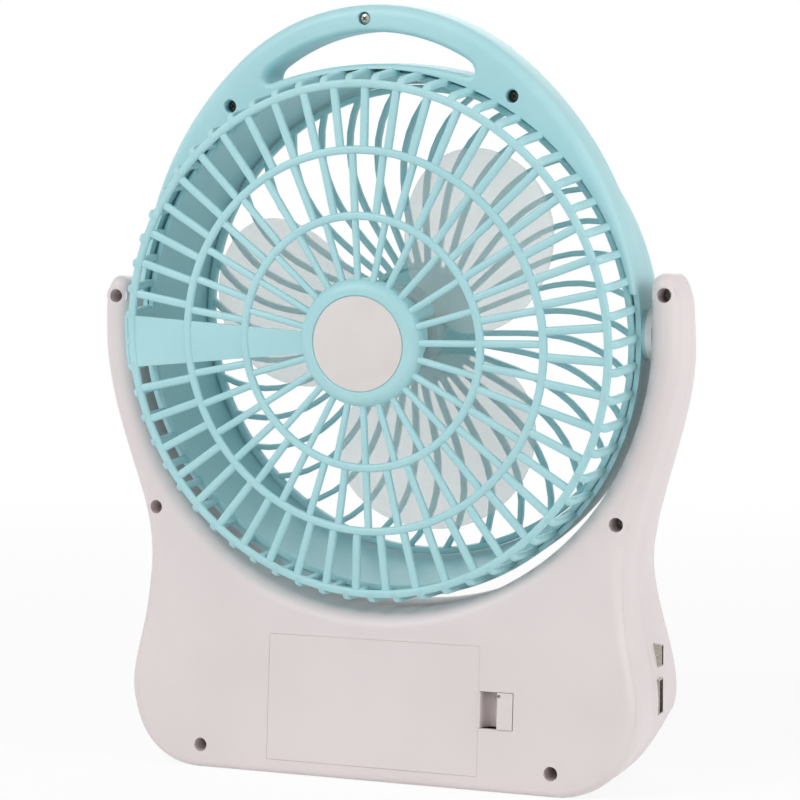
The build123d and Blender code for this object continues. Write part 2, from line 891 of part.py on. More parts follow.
def radial_bar(angle, low_r, high_r, low_y, high_y, width):
    length = high_r - low_r
    bar = Box(length, high_y - low_y, width)
    return at_angle(angle) * Pos(low_r + length / 2, (low_y + high_y) / 2, 0) * bar


def rear_grille():
    pieces = []
    inner = [hub_radius - spoke_bite] + ring_radii[:-1]
    for low_r, high_r, count in zip(inner, ring_radii, spoke_counts):
        offset = 0.5 if count == spoke_counts[-1] else 0.0
        for index in range(count):
            angle = (index + offset) * 360 / count
            if channel_flare(angle):
                continue
            pieces.append(radial_bar(
                angle, low_r, high_r, spoke_rear_y - spoke_thickness, spoke_rear_y, spoke_width))
    for radius in ring_radii:
        half = ring_width / 2
        pieces.append(tube(radius + half, radius - half, ring_rear_y - ring_thickness, ring_rear_y))
    rim = ring_radii[-1]
    foot = rim + side_bar_lift
    run = ring_rear_y - side_bar_drop - band_rear_y
    rise = band_radius - side_bar_thickness / 2 - foot
    slope = degrees(atan2(rise, run))
    length = hypot(rise, run) + side_bar_overlap
    place = Pos(foot + rise / 2, band_rear_y + run / 2, 0) * Rot(0, 0, slope)
    bar = place * Box(side_bar_thickness, length, side_bar_width)
    for index in range(side_bar_count):
        pieces.append(at_angle(index * 360 / side_bar_count) * bar)
    pieces.append(tube(band_radius, band_radius - band_width, band_front_y, band_rear_y))
    wedge = Polyline(
        (hub_radius - channel_bite, -channel_hub_width / 2), (rim, -channel_rim_width / 2),
        (rim, channel_rim_width / 2), (hub_radius - channel_bite, channel_hub_width / 2), close=True)
    channel_rear_y = spoke_rear_y - channel_drop
    pieces.append(slab(make_face(wedge), channel_rear_y - channel_thickness, channel_rear_y))
    label_seat = label_radius + label_clearance
    hub = turned([
        (0, hub_front_y + hub_floor),
        (0, hub_rear_y - label_recess),
        (label_seat, hub_rear_y - label_recess),
        (label_seat, hub_rear_y),
        (hub_radius - hub_crown_inset, hub_rear_y - hub_crown_drop),
        (hub_radius - hub_edge_inset, hub_rear_y - hub_edge_drop),
        (hub_radius, hub_front_y),
        (cup_radius + cup_wall, hub_front_y),
        (cup_radius + cup_wall, cup_front_y),
        (cup_radius, cup_front_y),
        (cup_radius, hub_front_y + hub_floor),
    ])
    grille = hub + pieces
    grille += [place * disc(ear_radius, cup_front_y, hub_front_y + ear_bite) for place in retainer_places()]
    grille -= disc(cup_radius, cup_front_y - 1, hub_front_y + hub_floor)
    pilot_end = cup_front_y + motor_screw_reach + pilot_overrun
    pilot_radius = motor_screw_radius + pilot_clearance
    grille -= [place * disc(pilot_radius, cup_front_y - 1, pilot_end) for place in retainer_places()]
    slot = Box(2 * (cup_radius + cup_wall), 2 * lead_slot, 2 * lead_slot)
    return grille - Pos(cup_radius + cup_wall, lead_y, 0) * slot


def retainer_places():
    for index in range(retainer_screw_count):
        angle = retainer_screw_angle + 360 * index / retainer_screw_count
        yield at_angle(angle) * Pos(retainer_screw_radius, 0, 0)


def label_disc():
    low = hub_rear_y - label_recess
    return disc(label_radius, low, low + label_thickness)


# Motor
def motor_can():
    can = disc(motor_radius, motor_front_y, motor_rear_y - motor_cap)
    can -= disc(motor_radius - motor_wall, motor_front_y + motor_wall, motor_rear_y)
    nose_y = motor_front_y - bearing_lead
    can += disc(bearing_radius + bearing_wall, nose_y, nose_y + bearing_length)
    return can - disc(bearing_radius + press_clearance, nose_y - 1, nose_y + bearing_length + 1)


def motor_end_cap():
    seat_y = motor_rear_y - motor_cap
    cap = disc(motor_radius, seat_y, motor_rear_y)
    cap += disc(bearing_radius + bearing_wall, seat_y - bearing_length / 2, motor_rear_y)
    bore_end = motor_rear_y - motor_cap_skin
    return cap - disc(bearing_radius + press_clearance, seat_y - bearing_length, bore_end)


def motor_bearings():
    bore = shaft_radius + running_clearance
    nose_y = motor_front_y - bearing_lead
    front = tube(bearing_radius, bore, nose_y, nose_y + bearing_length)
    rear_end = motor_rear_y - motor_cap_skin
    rear = tube(bearing_radius, bore, rear_end - bearing_length + rear_bearing_trim, rear_end)
    return [front, rear]


def motor_magnets():
    outer = motor_radius - motor_wall - press_clearance
    low_y = motor_front_y + magnet_front_gap
    high_y = motor_rear_y - magnet_rear_gap
    ring = tube(outer, outer - magnet_thickness, low_y, high_y)
    half = outer * 2
    length = 2 * (motor_rear_y - motor_front_y)
    lean = (180 - magnet_angle) / 2
    upper = ring & Pos(0, 0, half / 2) * Box(2 * half, 2 * length, half)
    for side in (-1, 1):
        upper -= Rot(0, side * lean, 0) * Pos(side * half / 2, 0, -half / 2) * Box(half, 2 * length, half)
    return [upper, Rot(0, 180, 0) * upper]


def motor_shaft():
    return disc(shaft_radius, shaft_front_y, motor_rear_y - shaft_rear_gap)


def motor_armature():
    mid = (motor_front_y + motor_rear_y) / 2 - armature_shift
    core = disc(armature_radius, mid - armature_length / 2, mid + armature_length / 2)
    for index in range(3):
        slot = Pos(armature_radius, mid, 0) * Box(armature_radius, 2 * armature_length, armature_slot)
        core -= at_angle(60 + 120 * index) * slot
    core += disc(commutator_radius, mid + armature_length / 2, mid + armature_length / 2 + commutator_length)
    return core - disc(shaft_radius, mid - armature_length, mid + armature_length)


def motor_retainer():
    plate = disc(cup_radius + cup_wall, cup_front_y - retainer_thickness, cup_front_y)
    low_y = cup_front_y - retainer_thickness
    plate += [place * disc(ear_radius, low_y, cup_front_y) for place in retainer_places()]
    plate -= disc(motor_radius + retainer_clearance, low_y - 1, cup_front_y + 1)
    hole_radius = motor_screw_radius + motor_hole_clearance
    return plate - [place * disc(hole_radius, low_y - 1, cup_front_y + 1) for place in retainer_places()]


def motor_screws():
    seat = cup_front_y - retainer_thickness
    head = disc(motor_screw_head_radius, seat - motor_screw_head, seat)
    screw = head + disc(motor_screw_radius, seat, cup_front_y + motor_screw_reach)
    return [place * screw for place in retainer_places()]


def motor_lead():
    turn_x = drum_inner_radius - lead_wall_gap
    path = FilletPolyline(
        (cup_radius + cup_wall - lead_overlap, lead_y, 0),
        (turn_x, lead_y, 0),
        (turn_x, 0, 0),
        (trunnion_end - lead_end_gap, 0, 0),
        radius=lead_bend)
    start = Plane(origin=path @ 0, z_dir=path % 0)
    return sweep(start * Circle(lead_radius), path)


# Fan rotor: broad clear blades on a cup hub
def blade_sheet():
    # A twisted sheet: the lift grows along the chord, steeper at the root than at the tip
    rows = []
    reach = blade_tip_radius + blade_margin
    edge = blade_half_chord * (1 + blade_margin / blade_half_chord)
    for radius_step in range(blade_rows):
        x = blade_start_radius + radius_step * reach / (blade_rows - 1)
        share = min(x / blade_tip_radius, 1.0)
        slope = blade_root_slope + (blade_tip_slope - blade_root_slope) * share
        row = []
        for chord_step in range(blade_columns):
            z = edge * (2 * chord_step / (blade_columns - 1) - 1)
            camber = blade_camber * (1 - (z / blade_half_chord) ** 2)
            row.append(Vector(x, blade_y + slope * z - camber, z))
        rows.append(row)
    return Face.make_surface_from_array_of_points(rows)


def fan_blades():
    sheet = thicken(blade_sheet(), blade_thickness / 2, both=True)
    middle = (blade_tip_radius + blade_root_radius) / 2
    paddle = Pos(middle, 0) * Ellipse(blade_tip_radius - middle, blade_half_chord)
    root_size = (2 * (fan_hub_radius - blade_root_inset), blade_root_share * blade_half_chord)
    root = Pos(fan_hub_radius + blade_root_bite, 0) * Rectangle(*root_size)
    depth = 2 * blade_half_chord
    blade = sheet & slab(paddle + root, blade_y - depth, blade_y + depth)
    blade -= disc(fan_hub_radius - fan_hub_wall / 2, blade_y - depth, blade_y + depth)
    hub = turned([
        (0, fan_hub_front_y),
        (fan_hub_radius - fan_hub_bevel, fan_hub_front_y),
        (fan_hub_radius, fan_hub_front_y + fan_hub_bevel),
        (fan_hub_radius, fan_hub_rear_y),
        (fan_hub_radius - fan_hub_wall, fan_hub_rear_y),
        (fan_hub_radius - fan_hub_wall, fan_hub_front_y + 2 * fan_hub_front_wall),
        (fan_core_radius, fan_hub_front_y + fan_hub_front_wall),
        (fan_core_radius, fan_hub_rear_y),
        (0, fan_hub_rear_y),
    ])
    rotor = hub
    for index in range(blade_count):
        rotor += at_angle(blade_first_angle + 360 / blade_count * index) * blade
    return rotor - disc(shaft_radius, shaft_front_y, 0)


# Front grille: curved spokes between a cap and a rim
def front_spoke():
    low = front_hub_radius - front_cap_wall
    high = drum_lip_radius - front_ring_clearance - front_ring_width / 2
    mid = (low + high) / 2
    def spot(radius, angle, side):
        turn = radians(angle)
        along = (cos(turn) * radius, sin(turn) * radius)
        half = side * front_spoke_width / 2
        return (along[0] - sin(turn) * half, along[1] + cos(turn) * half)
    def edge(side):
        return spot(low, 0, side), spot(mid, -front_spoke_bulge, side), spot(high, front_spoke_lag, side)
    left = edge(1)
    right = edge(-1)
    outline = [
        ThreePointArc(*left),
        Line(left[2], right[2]),
        ThreePointArc(*right[::-1]),
        Line(right[0], left[0]),
    ]
    low_y = drum_front_y + front_spoke_setback
    return slab(make_face(outline), low_y, low_y + front_spoke_depth)


def front_grille():
    rim = drum_lip_radius - front_ring_clearance
    pieces = [tube(rim, rim - front_ring_width, drum_front_y + front_rim_setback, front_rear_y)]
    spoke = front_spoke()
    for index in range(front_spoke_count):
        pieces.append(at_angle(index * 360 / front_spoke_count) * spoke)
    cap = turned([
        (0, drum_front_y - front_cap_rise),
        (front_hub_radius - front_cap_edge_inset, drum_front_y - front_cap_edge_rise),
        (front_hub_radius, drum_front_y + front_cap_bevel),
        (front_hub_radius, front_rear_y),
        (front_hub_radius - front_cap_wall, front_rear_y),
        (front_hub_radius - front_cap_wall, drum_front_y + front_cap_skirt_depth),
        (0, drum_front_y + front_cap_thickness - front_cap_rise),
    ])
    return cap + pieces


def write(name, piece, place):
    # One file for each node: a single solid, or a set of like solids
    solids = piece if isinstance(piece, list) else [piece]
    placed = [place * solid for solid in solids]
    export_step(placed[0] if len(placed) == 1 else Compound(children=placed), f"parts/{name}.step")


def build():
    front_shell, rear_shell = base_shells()
    stand = {
        "base_front_shell": front_shell,
        "base_rear_shell": rear_shell,
        "base_screws": base_screws(),
        "pivot_bushes": pivot_bushes(),
        "friction_rings": friction_rings(),
        "battery_door": battery_door(),
        "battery_tray": battery_tray(),
        "battery_cells": battery_cells(),
        "battery_contacts": battery_contacts(),
        "control_board": control_board(),
        "board_screws": board_screws(),
        "usb_output_socket": usb_socket(),
        "charging_socket": micro_socket(),
        "rotary_switch": rotary_switch(),
        "dial_spindle": dial_spindle(),
        "speed_dial": speed_dial(),
    }
    head = {
        "front_housing": front_housing(),
        "rear_housing": rear_housing(),
        "front_grille": front_grille(),
        "rear_grille": rear_grille(),
        "label_disc": label_disc(),
        "handle_screws": handle_screws(),
        "trunnion_clips": trunnion_clips(),
        "motor_can": motor_can(),
        "motor_end_cap": motor_end_cap(),
        "motor_bearings": motor_bearings(),
        "motor_magnets": motor_magnets(),
        "motor_retainer": motor_retainer(),
        "motor_screws": motor_screws(),
        "motor_lead": motor_lead(),
        "motor_shaft": motor_shaft(),
        "motor_armature": motor_armature(),
        "fan_blades": fan_blades(),
    }
    os.makedirs("parts", exist_ok=True)
    for name, piece in stand.items():
        write(name, piece, Location())
    for name, piece in head.items():
        write(name, piece, head_place)


build()
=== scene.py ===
import json
import math

import bmesh
import bpy
import numpy as np
from mathutils import Matrix, Vector


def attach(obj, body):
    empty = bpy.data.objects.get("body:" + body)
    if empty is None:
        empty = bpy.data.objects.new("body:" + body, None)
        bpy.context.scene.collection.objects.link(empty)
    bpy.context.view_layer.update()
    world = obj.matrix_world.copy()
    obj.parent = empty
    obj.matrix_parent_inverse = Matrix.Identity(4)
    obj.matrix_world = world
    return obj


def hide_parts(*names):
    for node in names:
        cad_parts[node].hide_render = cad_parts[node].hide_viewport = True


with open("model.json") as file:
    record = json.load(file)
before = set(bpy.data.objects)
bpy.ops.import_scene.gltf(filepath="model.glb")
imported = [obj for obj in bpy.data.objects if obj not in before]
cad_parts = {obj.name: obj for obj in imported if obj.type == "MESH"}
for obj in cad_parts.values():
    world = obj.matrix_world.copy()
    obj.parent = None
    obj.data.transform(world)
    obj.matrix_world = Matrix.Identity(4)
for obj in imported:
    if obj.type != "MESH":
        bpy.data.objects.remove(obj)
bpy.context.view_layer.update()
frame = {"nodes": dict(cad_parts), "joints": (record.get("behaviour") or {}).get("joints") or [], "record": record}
mm = 0.001
joints = {joint["name"]: joint for joint in frame["joints"]}
print("frame loaded, nodes:", len(frame["nodes"]))


# Small tools: colour, nodes, grids of faces and finished pieces

def hexColour(code):  # sRGB hex to linear red, green, blue, alpha
    srgb = np.array([int(code[i:i + 2], 16) for i in (1, 3, 5)]) / 255
    linear = np.where(srgb <= 0.04045, srgb / 12.92, ((srgb + 0.055) / 1.055) ** 2.4)
    return (*linear.tolist(), 1.0)


def addNode(tree, kind, links=None, **settings):  # links: input name or number to a socket or a value
    node = tree.nodes.new(kind)
    for key, value in settings.items():
        setattr(node, key, value)
    for key, value in (links or {}).items():
        if isinstance(value, bpy.types.NodeSocket):
            tree.links.new(value, node.inputs[key])
        else:
            node.inputs[key].default_value = value
    return node


def newMaterial(name):
    material = bpy.data.materials.new(name)
    material.use_nodes = True
    tree = material.node_tree
    tree.nodes.clear()
    return material, tree, addNode(tree, "ShaderNodeTexCoord").outputs["Object"]


def gridPart(points, closeRows=False, capEnds=True):
    # points: rows x cols x 3, each row a closed loop; quads join neighbours, and the end rows may be capped
    rows, cols = points.shape[:2]
    i, j = np.meshgrid(np.arange(rows - (not closeRows)), np.arange(cols), indexing="ij")
    down, over = (i + 1) % rows, (j + 1) % cols
    faces = np.stack([i * cols + j, down * cols + j, down * cols + over, i * cols + over], -1).reshape(-1, 4).tolist()
    if capEnds:
        faces += [list(range(cols)), list(range((rows - 1) * cols, rows * cols))]
    return points.reshape(-1, 3), faces


def joinParts(parts):  # a part is its points in millimetres and its faces
    starts = np.cumsum([0] + [len(points) for points, _ in parts])
    points = np.concatenate([points for points, _ in parts])
    faces = [[corner + int(start) for corner in face] for (_, some), start in zip(parts, starts) for face in some]
    return points, faces


def unit(vectors):
    return vectors / np.linalg.norm(vectors, axis=1, keepdims=True)


def roundedRect(width, height, radius, steps=4):  # closed loop: four quarter arcs joined by straight sides
    turn = np.linspace(0, math.pi / 2, steps + 1)
    quarters = [(1, 1, 0), (-1, 1, 1), (-1, -1, 2), (1, -1, 3)]
    loop = [np.stack([
        sx * (width / 2 - radius) + radius * np.cos(turn + k * math.pi / 2),
        sy * (height / 2 - radius) + radius * np.sin(turn + k * math.pi / 2)], -1) for sx, sy, k in quarters]
    return np.concatenate(loop)


def turned(loop, steps=144, first=0.0, last=360.0):  # a loop of radius and y carried round the y axis
    whole = last - first >= 360
    turn = np.radians(np.linspace(first, last, steps, endpoint=not whole))[:, None]
    loop = np.asarray(loop, float)
    height = np.broadcast_to(loop[None, :, 1], (steps, len(loop)))
    points = np.stack([loop[None, :, 0] * np.cos(turn), height, loop[None, :, 0] * np.sin(turn)], -1)
    return gridPart(points, whole, not whole)


def swept(path, side, up, section, widthScale=1.0):  # a section carried along a path, its width scaled on the way
    path = np.asarray(path, float)
    side = np.broadcast_to(np.asarray(side, float), path.shape)
    up = np.broadcast_to(np.asarray(up, float), path.shape)
    wide = np.broadcast_to(np.asarray(widthScale, float), len(path))[:, None, None]
    points = path[:, None] + wide * section[None, :, :1] * side[:, None] + section[None, :, 1:] * up[:, None]
    return gridPart(points)


def aroundHub(part, angles):  # copies turned about the y axis, angles from +x towards +z
    points, faces = part
    c = np.cos(np.radians(angles))[:, None]
    s = np.sin(np.radians(angles))[:, None]
    x, y, z = points.T
    copies = np.stack([x * c - z * s, np.broadcast_to(y, (len(c), len(y))), x * s + z * c], -1)
    return joinParts([(copy, faces) for copy in copies])


def mirrored(part):  # a part and its image across x = 0
    points, faces = part
    return joinParts([part, (points * [-1, 1, 1], [face[::-1] for face in faces])])


def moved(part, offset):
    return part[0] + offset, part[1]


def extruded(outline, low, high, order=(0, 1, 2)):  # a flat closed outline carried along the third axis
    outline = np.asarray(outline, float)
    ends = [np.column_stack([outline, np.full(len(outline), level)])[:, list(order)] for level in (low, high)]
    return gridPart(np.stack(ends))


def makeMesh(name, parts):  # joins parts in metres, with seams and poles closed and faces outward
    points, faces = joinParts(parts)
    mesh = bpy.data.meshes.new(name)
    mesh.from_pydata((points * mm).tolist(), [], faces)
    shape = bmesh.new()
    shape.from_mesh(mesh)
    bmesh.ops.remove_doubles(shape, verts=shape.verts, dist=2e-6)
    bmesh.ops.recalc_face_normals(shape, faces=shape.faces)
    shape.to_mesh(mesh)
    shape.free()
    return mesh


def linked(name, data):
    piece = bpy.data.objects.new(name, data)
    bpy.context.collection.objects.link(piece)
    return piece


def finalMesh(piece):
    return bpy.data.meshes.new_from_object(piece.evaluated_get(bpy.context.evaluated_depsgraph_get()))


def cutAway(mesh, cutters):  # takes closed cutter shapes out of a mesh
    body, tool = linked("body", mesh), linked("tool", makeMesh("tool", cutters))
    cut = body.modifiers.new("cut", "BOOLEAN")
    cut.operation = "DIFFERENCE"
    cut.solver = "EXACT"
    cut.object = tool
    result = finalMesh(body)
    bpy.data.objects.remove(body)
    bpy.data.objects.remove(tool)
    return result


def merged(meshes):
    shape = bmesh.new()
    for mesh in meshes:
        shape.from_mesh(mesh)
    result = bpy.data.meshes.new("merged")
    shape.to_mesh(result)
    shape.free()
    return result


def withParts(mesh, parts):  # adds closed shapes to a mesh that was cut
    return merged([mesh, makeMesh("added", parts)])


def finishPiece(name, mesh, body, slot, nodes=(), edgeAngle=32):  # edges sharper than edgeAngle stay crisp
    mesh.name = name
    mesh.polygons.foreach_set("use_smooth", np.ones(len(mesh.polygons), bool))
    mesh.set_sharp_from_angle(angle=math.radians(edgeAngle))
    mesh.materials.clear()
    mesh.materials.append(looks[slot])
    piece = linked(name, mesh)
    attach(piece, body)
    if nodes:
        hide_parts(*nodes)
    return piece


# Places: the tilted head, the leaning rear face and the sloping front face, all in millimetres

pivot = np.array(joints["head_tilt"]["pos_m"]) / mm
spinAxis = np.array(joints["fan_spin"]["axis"])
headAxes = np.array([[1, 0, 0], spinAxis, [0, -spinAxis[2], spinAxis[1]]])
dialSpot = np.array(joints["dial_turn"]["pos_m"]) / mm
dialAxis = -np.array(joints["dial_turn"]["axis"])  # the joint turns clockwise
frontAxes = np.array([[1, 0, 0], [0, dialAxis[2], -dialAxis[1]], dialAxis])
doorAxis = np.array(joints["door_swing"]["axis"])
rearAxes = np.array([[-1, 0, 0], -doorAxis, [0, -doorAxis[2], doorAxis[1]]])


def onRear(part):  # rear face frame: x to the sockets, y up the face, z out of it
    return np.array([0, stand["depth"] / 2, 0]) + part[0] @ rearAxes, part[1]


def carried(mesh, origin, axes):  # moves a mesh made about zero into a frame
    mesh.transform(Matrix.Translation(Vector(origin * mm)) @ Matrix(axes.tolist()).transposed().to_4x4())
    return mesh


def toHead(mesh):  # head frame: y out of the rear grille, origin on the pivot
    return carried(mesh, pivot, headAxes)


# Camera at the photograph's angle

view = dict(azimuth=201.70, elevation=2.72, distance=0.83872, target=(0.002, 0.0, 0.14164), lens=97.52,
            sensor=36)


def addCamera():
    azimuth, elevation = math.radians(view["azimuth"]), math.radians(view["elevation"])
    back = Vector((math.sin(azimuth) * math.cos(elevation), -math.cos(azimuth) * math.cos(elevation),
                   math.sin(elevation)))
    right = Vector((0, 0, 1)).cross(back).normalized()
    turn = Matrix((right, back.cross(right), back)).transposed().to_4x4()
    camera = linked("camera", bpy.data.cameras.new("camera"))
    camera.data.lens = view["lens"]
    camera.data.sensor_width = view["sensor"]
    camera.matrix_world = Matrix.Translation(Vector(view["target"]) + view["distance"] * back) @ turn
    bpy.context.scene.camera = camera


addCamera()
print("camera set")


# Materials

def mouldedPlastic(name, look):
    # Injection moulded ABS: even colour with a faint cloudy drift, a soft gloss broken by spark-eroded grain.
    # The real grain is about 0.1 mm, drawn at look["grain"] so that it shows.
    material, tree, place = newMaterial(name)
    cloud = addNode(tree, "ShaderNodeTexNoise", {"Vector": place, "Scale": 1 / (look["cloud"] * mm), "Detail": 2.0})
    grain = addNode(tree, "ShaderNodeTexNoise", {"Vector": place, "Scale": 1 / (look["grain"] * mm), "Detail": 3.0})
    tint = addNode(tree, "ShaderNodeValToRGB", {"Fac": cloud.outputs["Fac"]})
    for stop, at, code in zip(tint.color_ramp.elements, (0.3, 0.7), (look["shade"], look["colour"])):
        stop.position, stop.color = at, hexColour(code)
    gloss = addNode(tree, "ShaderNodeMapRange", {
        "Value": grain.outputs["Fac"], "From Min": 0.3, "From Max": 0.7,
        "To Min": look["rough"] - 0.04, "To Max": look["rough"] + 0.06})
    bump = addNode(tree, "ShaderNodeBump", {
        "Height": grain.outputs["Fac"], "Strength": look["bump"], "Distance": 0.02 * mm})
    shader = addNode(tree, "ShaderNodeBsdfPrincipled", {
        "Base Color": tint.outputs["Color"], "Roughness": gloss.outputs["Result"], "Normal": bump.outputs["Normal"],
        "IOR": 1.46, "Subsurface Weight": look["depth"], "Subsurface Radius": (1.0, 1.0, 1.0),
        "Subsurface Scale": 1.2 * mm})
    addNode(tree, "ShaderNodeOutputMaterial", {"Surface": shader.outputs["BSDF"]})
    return material


def platedMetal(name, look):
    # Plated metal: mirror-like with fine turning or rolling lines along one way, and dull spots
    material, tree, place = newMaterial(name)
    stretch = addNode(tree, "ShaderNodeMapping", {"Vector": place, "Scale": look["lines"]})
    lines = addNode(tree, "ShaderNodeTexNoise", {
        "Vector": stretch.outputs["Vector"], "Scale": 1 / (look["grain"] * mm), "Detail": 3.0})
    tint = addNode(tree, "ShaderNodeValToRGB", {"Fac": lines.outputs["Fac"]})
    for stop, at, code in zip(tint.color_ramp.elements, (0.25, 0.75), (look["shade"], look["colour"])):
        stop.position, stop.color = at, hexColour(code)
    gloss = addNode(tree, "ShaderNodeMapRange", {
        "Value": lines.outputs["Fac"], "To Min": look["rough"] - 0.08, "To Max": look["rough"] + 0.1})
    bump = addNode(tree, "ShaderNodeBump", {
        "Height": lines.outputs["Fac"], "Strength": 0.15, "Distance": 0.02 * mm})
    shader = addNode(tree, "ShaderNodeBsdfPrincipled", {
        "Base Color": tint.outputs["Color"], "Roughness": gloss.outputs["Result"], "Normal": bump.outputs["Normal"],
        "Metallic": 1.0})
    addNode(tree, "ShaderNodeOutputMaterial", {"Surface": shader.outputs["BSDF"]})
    return material


def milkyClear(name, look):
    # Clear polypropylene: lets most light through, a little milky, soft-edged highlights
    material, tree, place = newMaterial(name)
    cloud = addNode(tree, "ShaderNodeTexNoise", {"Vector": place, "Scale": 1 / (look["cloud"] * mm), "Detail": 2.0})
    tint = addNode(tree, "ShaderNodeValToRGB", {"Fac": cloud.outputs["Fac"]})
    for stop, code in zip(tint.color_ramp.elements, (look["shade"], look["colour"])):
        stop.color = hexColour(code)
    milk = addNode(tree, "ShaderNodeMapRange", {
        "Value": cloud.outputs["Fac"], "To Min": look["alpha"] - 0.05, "To Max": look["alpha"] + 0.05})
    shader = addNode(tree, "ShaderNodeBsdfPrincipled", {
        "Base Color": tint.outputs["Color"], "Roughness": look["rough"], "IOR": 1.49,
        "Alpha": milk.outputs["Result"]})
    addNode(tree, "ShaderNodeOutputMaterial", {"Surface": shader.outputs["BSDF"]})
    return material


# Sizes of cloud and grain are in millimetres; depth is the share of light that sinks in
plasticKeys = ("colour", "shade", "cloud", "grain", "rough", "bump", "depth")
plastics = {
    "white_abs": ("moulded white ABS", "#E9DFDF", "#E4DADA", 45.0, 0.7, 0.42, 0.10, 0.06),  # warm white, soft gloss
    "turquoise_abs": ("moulded turquoise ABS", "#B4E1E6", "#ADDCE1", 30.0, 0.7, 0.42, 0.08, 0.08),  # pale, soft gloss
    "label_film": ("matt paper-white film", "#E6E1DE", "#E0DAD7", 20.0, 0.4, 0.55, 0.05, 0.0),  # flat, hardly shines
    "white_acetal": ("white acetal", "#EFEDEA", "#E8E6E2", 10.0, 0.5, 0.38, 0.05, 0.1),  # waxy white
    "black_rubber": ("black rubber", "#232323", "#1B1B1B", 6.0, 0.5, 0.75, 0.3, 0.0),  # dull black
    "cell_wrap": ("blue shrink film", "#3F78AF", "#386DA3", 25.0, 0.9, 0.28, 0.1, 0.0),  # tight and shiny
    "board_laminate": ("green circuit laminate", "#1F6B3C", "#195A32", 4.0, 0.6, 0.4, 0.1, 0.0),  # lacquered
    "black_nylon": ("black nylon", "#2A2A2A", "#202020", 8.0, 0.5, 0.55, 0.2, 0.0),  # matt black
    "ferrite": ("ferrite magnet", "#3A3A3C", "#2E2E30", 3.0, 0.4, 0.6, 0.3, 0.0),  # dark and gritty
    "lead_pvc": ("black PVC", "#262626", "#1E1E1E", 8.0, 0.6, 0.45, 0.1, 0.0),  # smooth black
}
metalKeys = ("colour", "shade", "lines", "grain", "rough")
metals = {
    "zinc_screw": ("zinc plated steel", "#C9C8C4", "#98968F", (1, 1, 1), 0.8, 0.32),  # bright, a little cloudy
    "spring_steel": ("nickel plated spring steel", "#D2D1CC", "#A9A7A0", (1, 1, 8), 1.5, 0.3),  # drawn lines
    "socket_nickel": ("nickel plated sheet", "#CFCCC4", "#A6A298", (1, 6, 6), 1.2, 0.28),  # rolled lines
    "motor_steel": ("plated motor steel", "#BDBDBC", "#8F8F8E", (1, 8, 1), 1.5, 0.33),  # turned lines
    "sintered_bronze": ("sintered bronze", "#B98F5A", "#8A6637", (1, 1, 1), 0.5, 0.45),  # fine pores
    "shade_painted_zinc": ("zinc plate darkened as painted shade", "#6B6862", "#3A3835", (1, 1, 1), 0.8, 0.5),  # painted shade: darkened zinc on the two sunk screws, standing in for the shade inside their holes
}
bladeLook = dict(colour="#EDF0EF", shade="#DCE3E2", cloud=60.0, alpha=0.34, rough=0.22)
looks = {slot: mouldedPlastic(name, dict(zip(plasticKeys, look))) for slot, (name, *look) in plastics.items()}
looks.update({slot: platedMetal(name, dict(zip(metalKeys, look))) for slot, (name, *look) in metals.items()})
looks["clear_blade"] = milkyClear("milky clear polypropylene", bladeLook)
for subpart in frame["record"]["subparts"]:
    node = frame["nodes"][subpart["node"]]
    node.data.materials.clear()
    node.data.materials.append(looks[subpart["material_slot"]])
print("materials:", len(looks))


# Stand: two moulded halves with soft edges

stand = dict(
    height=190.0, depth=73.0, bulgeHalf=103.2, bulgeZ=31.0, corner=31.0, waistHalf=97.0, waistZ=75.0, armHalf=116.0,
    armStraightZ=166.0, shoulderZ=176.0, tipRadius=5.4, tipSoft=5.0, tipLeft=0.02, leanTopZ=92.0, rearArmY=29.4,
    frontArmY=0.0, kinkReach=6.0, cradle=105.0, wall=2.2, wallShare=0.45, partingY=10.5, seam=0.12, seamEdge=0.15,
    seamShare=0.2, edgeShare=0.46, edgeRise=26.0,  # shares: most of the section's length that each may take
    rearEdges=(3.0, 8.0, 6.0, 4.5), frontEdges=(14.0, 10.0, 6.0, 10.0),  # round of floor, side, cradle and arm edge
    frontDraft=1.2, cornerDraft=4.0, flankDraft=2.2, flankZ=50.0, flankReach=14.0)
standScrews = dict(places=[(110.3, 182.0), (93.0, 99.6), (70.8, 8.8)], holeRadius=2.65, cutFrom=3.0, sleeve=1.8,
                   sleeveTop=1.2, sleeveFoot=1.0, seatY=19.0, headRadius=2.45, headHeight=1.9)


def eased(t, start, end, leave, arrive):  # cubic from start to end with the given slopes at its ends
    t = np.clip(t, 0, 1)
    return (start * (2 * t**3 - 3 * t**2 + 1) + end * (3 * t**2 - 2 * t**3)
            + leave * (t**3 - 2 * t**2 + t) + arrive * (t**3 - t**2))


def waistX(z):  # two cubic pieces with upright ends, meeting smoothly at the waist
    s = stand
    low, high = s["waistZ"] - s["bulgeZ"], s["armStraightZ"] - s["waistZ"]
    fall, rise = (s["waistHalf"] - s["bulgeHalf"]) / low, (s["armHalf"] - s["waistHalf"]) / high
    slope = 3 * (high * fall + low * rise) / (2 * (low + high))
    below = eased((z - s["bulgeZ"]) / low, s["bulgeHalf"], s["waistHalf"], 0, low * slope)
    above = eased((z - s["waistZ"]) / high, s["waistHalf"], s["armHalf"], high * slope, 0)
    return np.where(z < s["waistZ"], below, above)


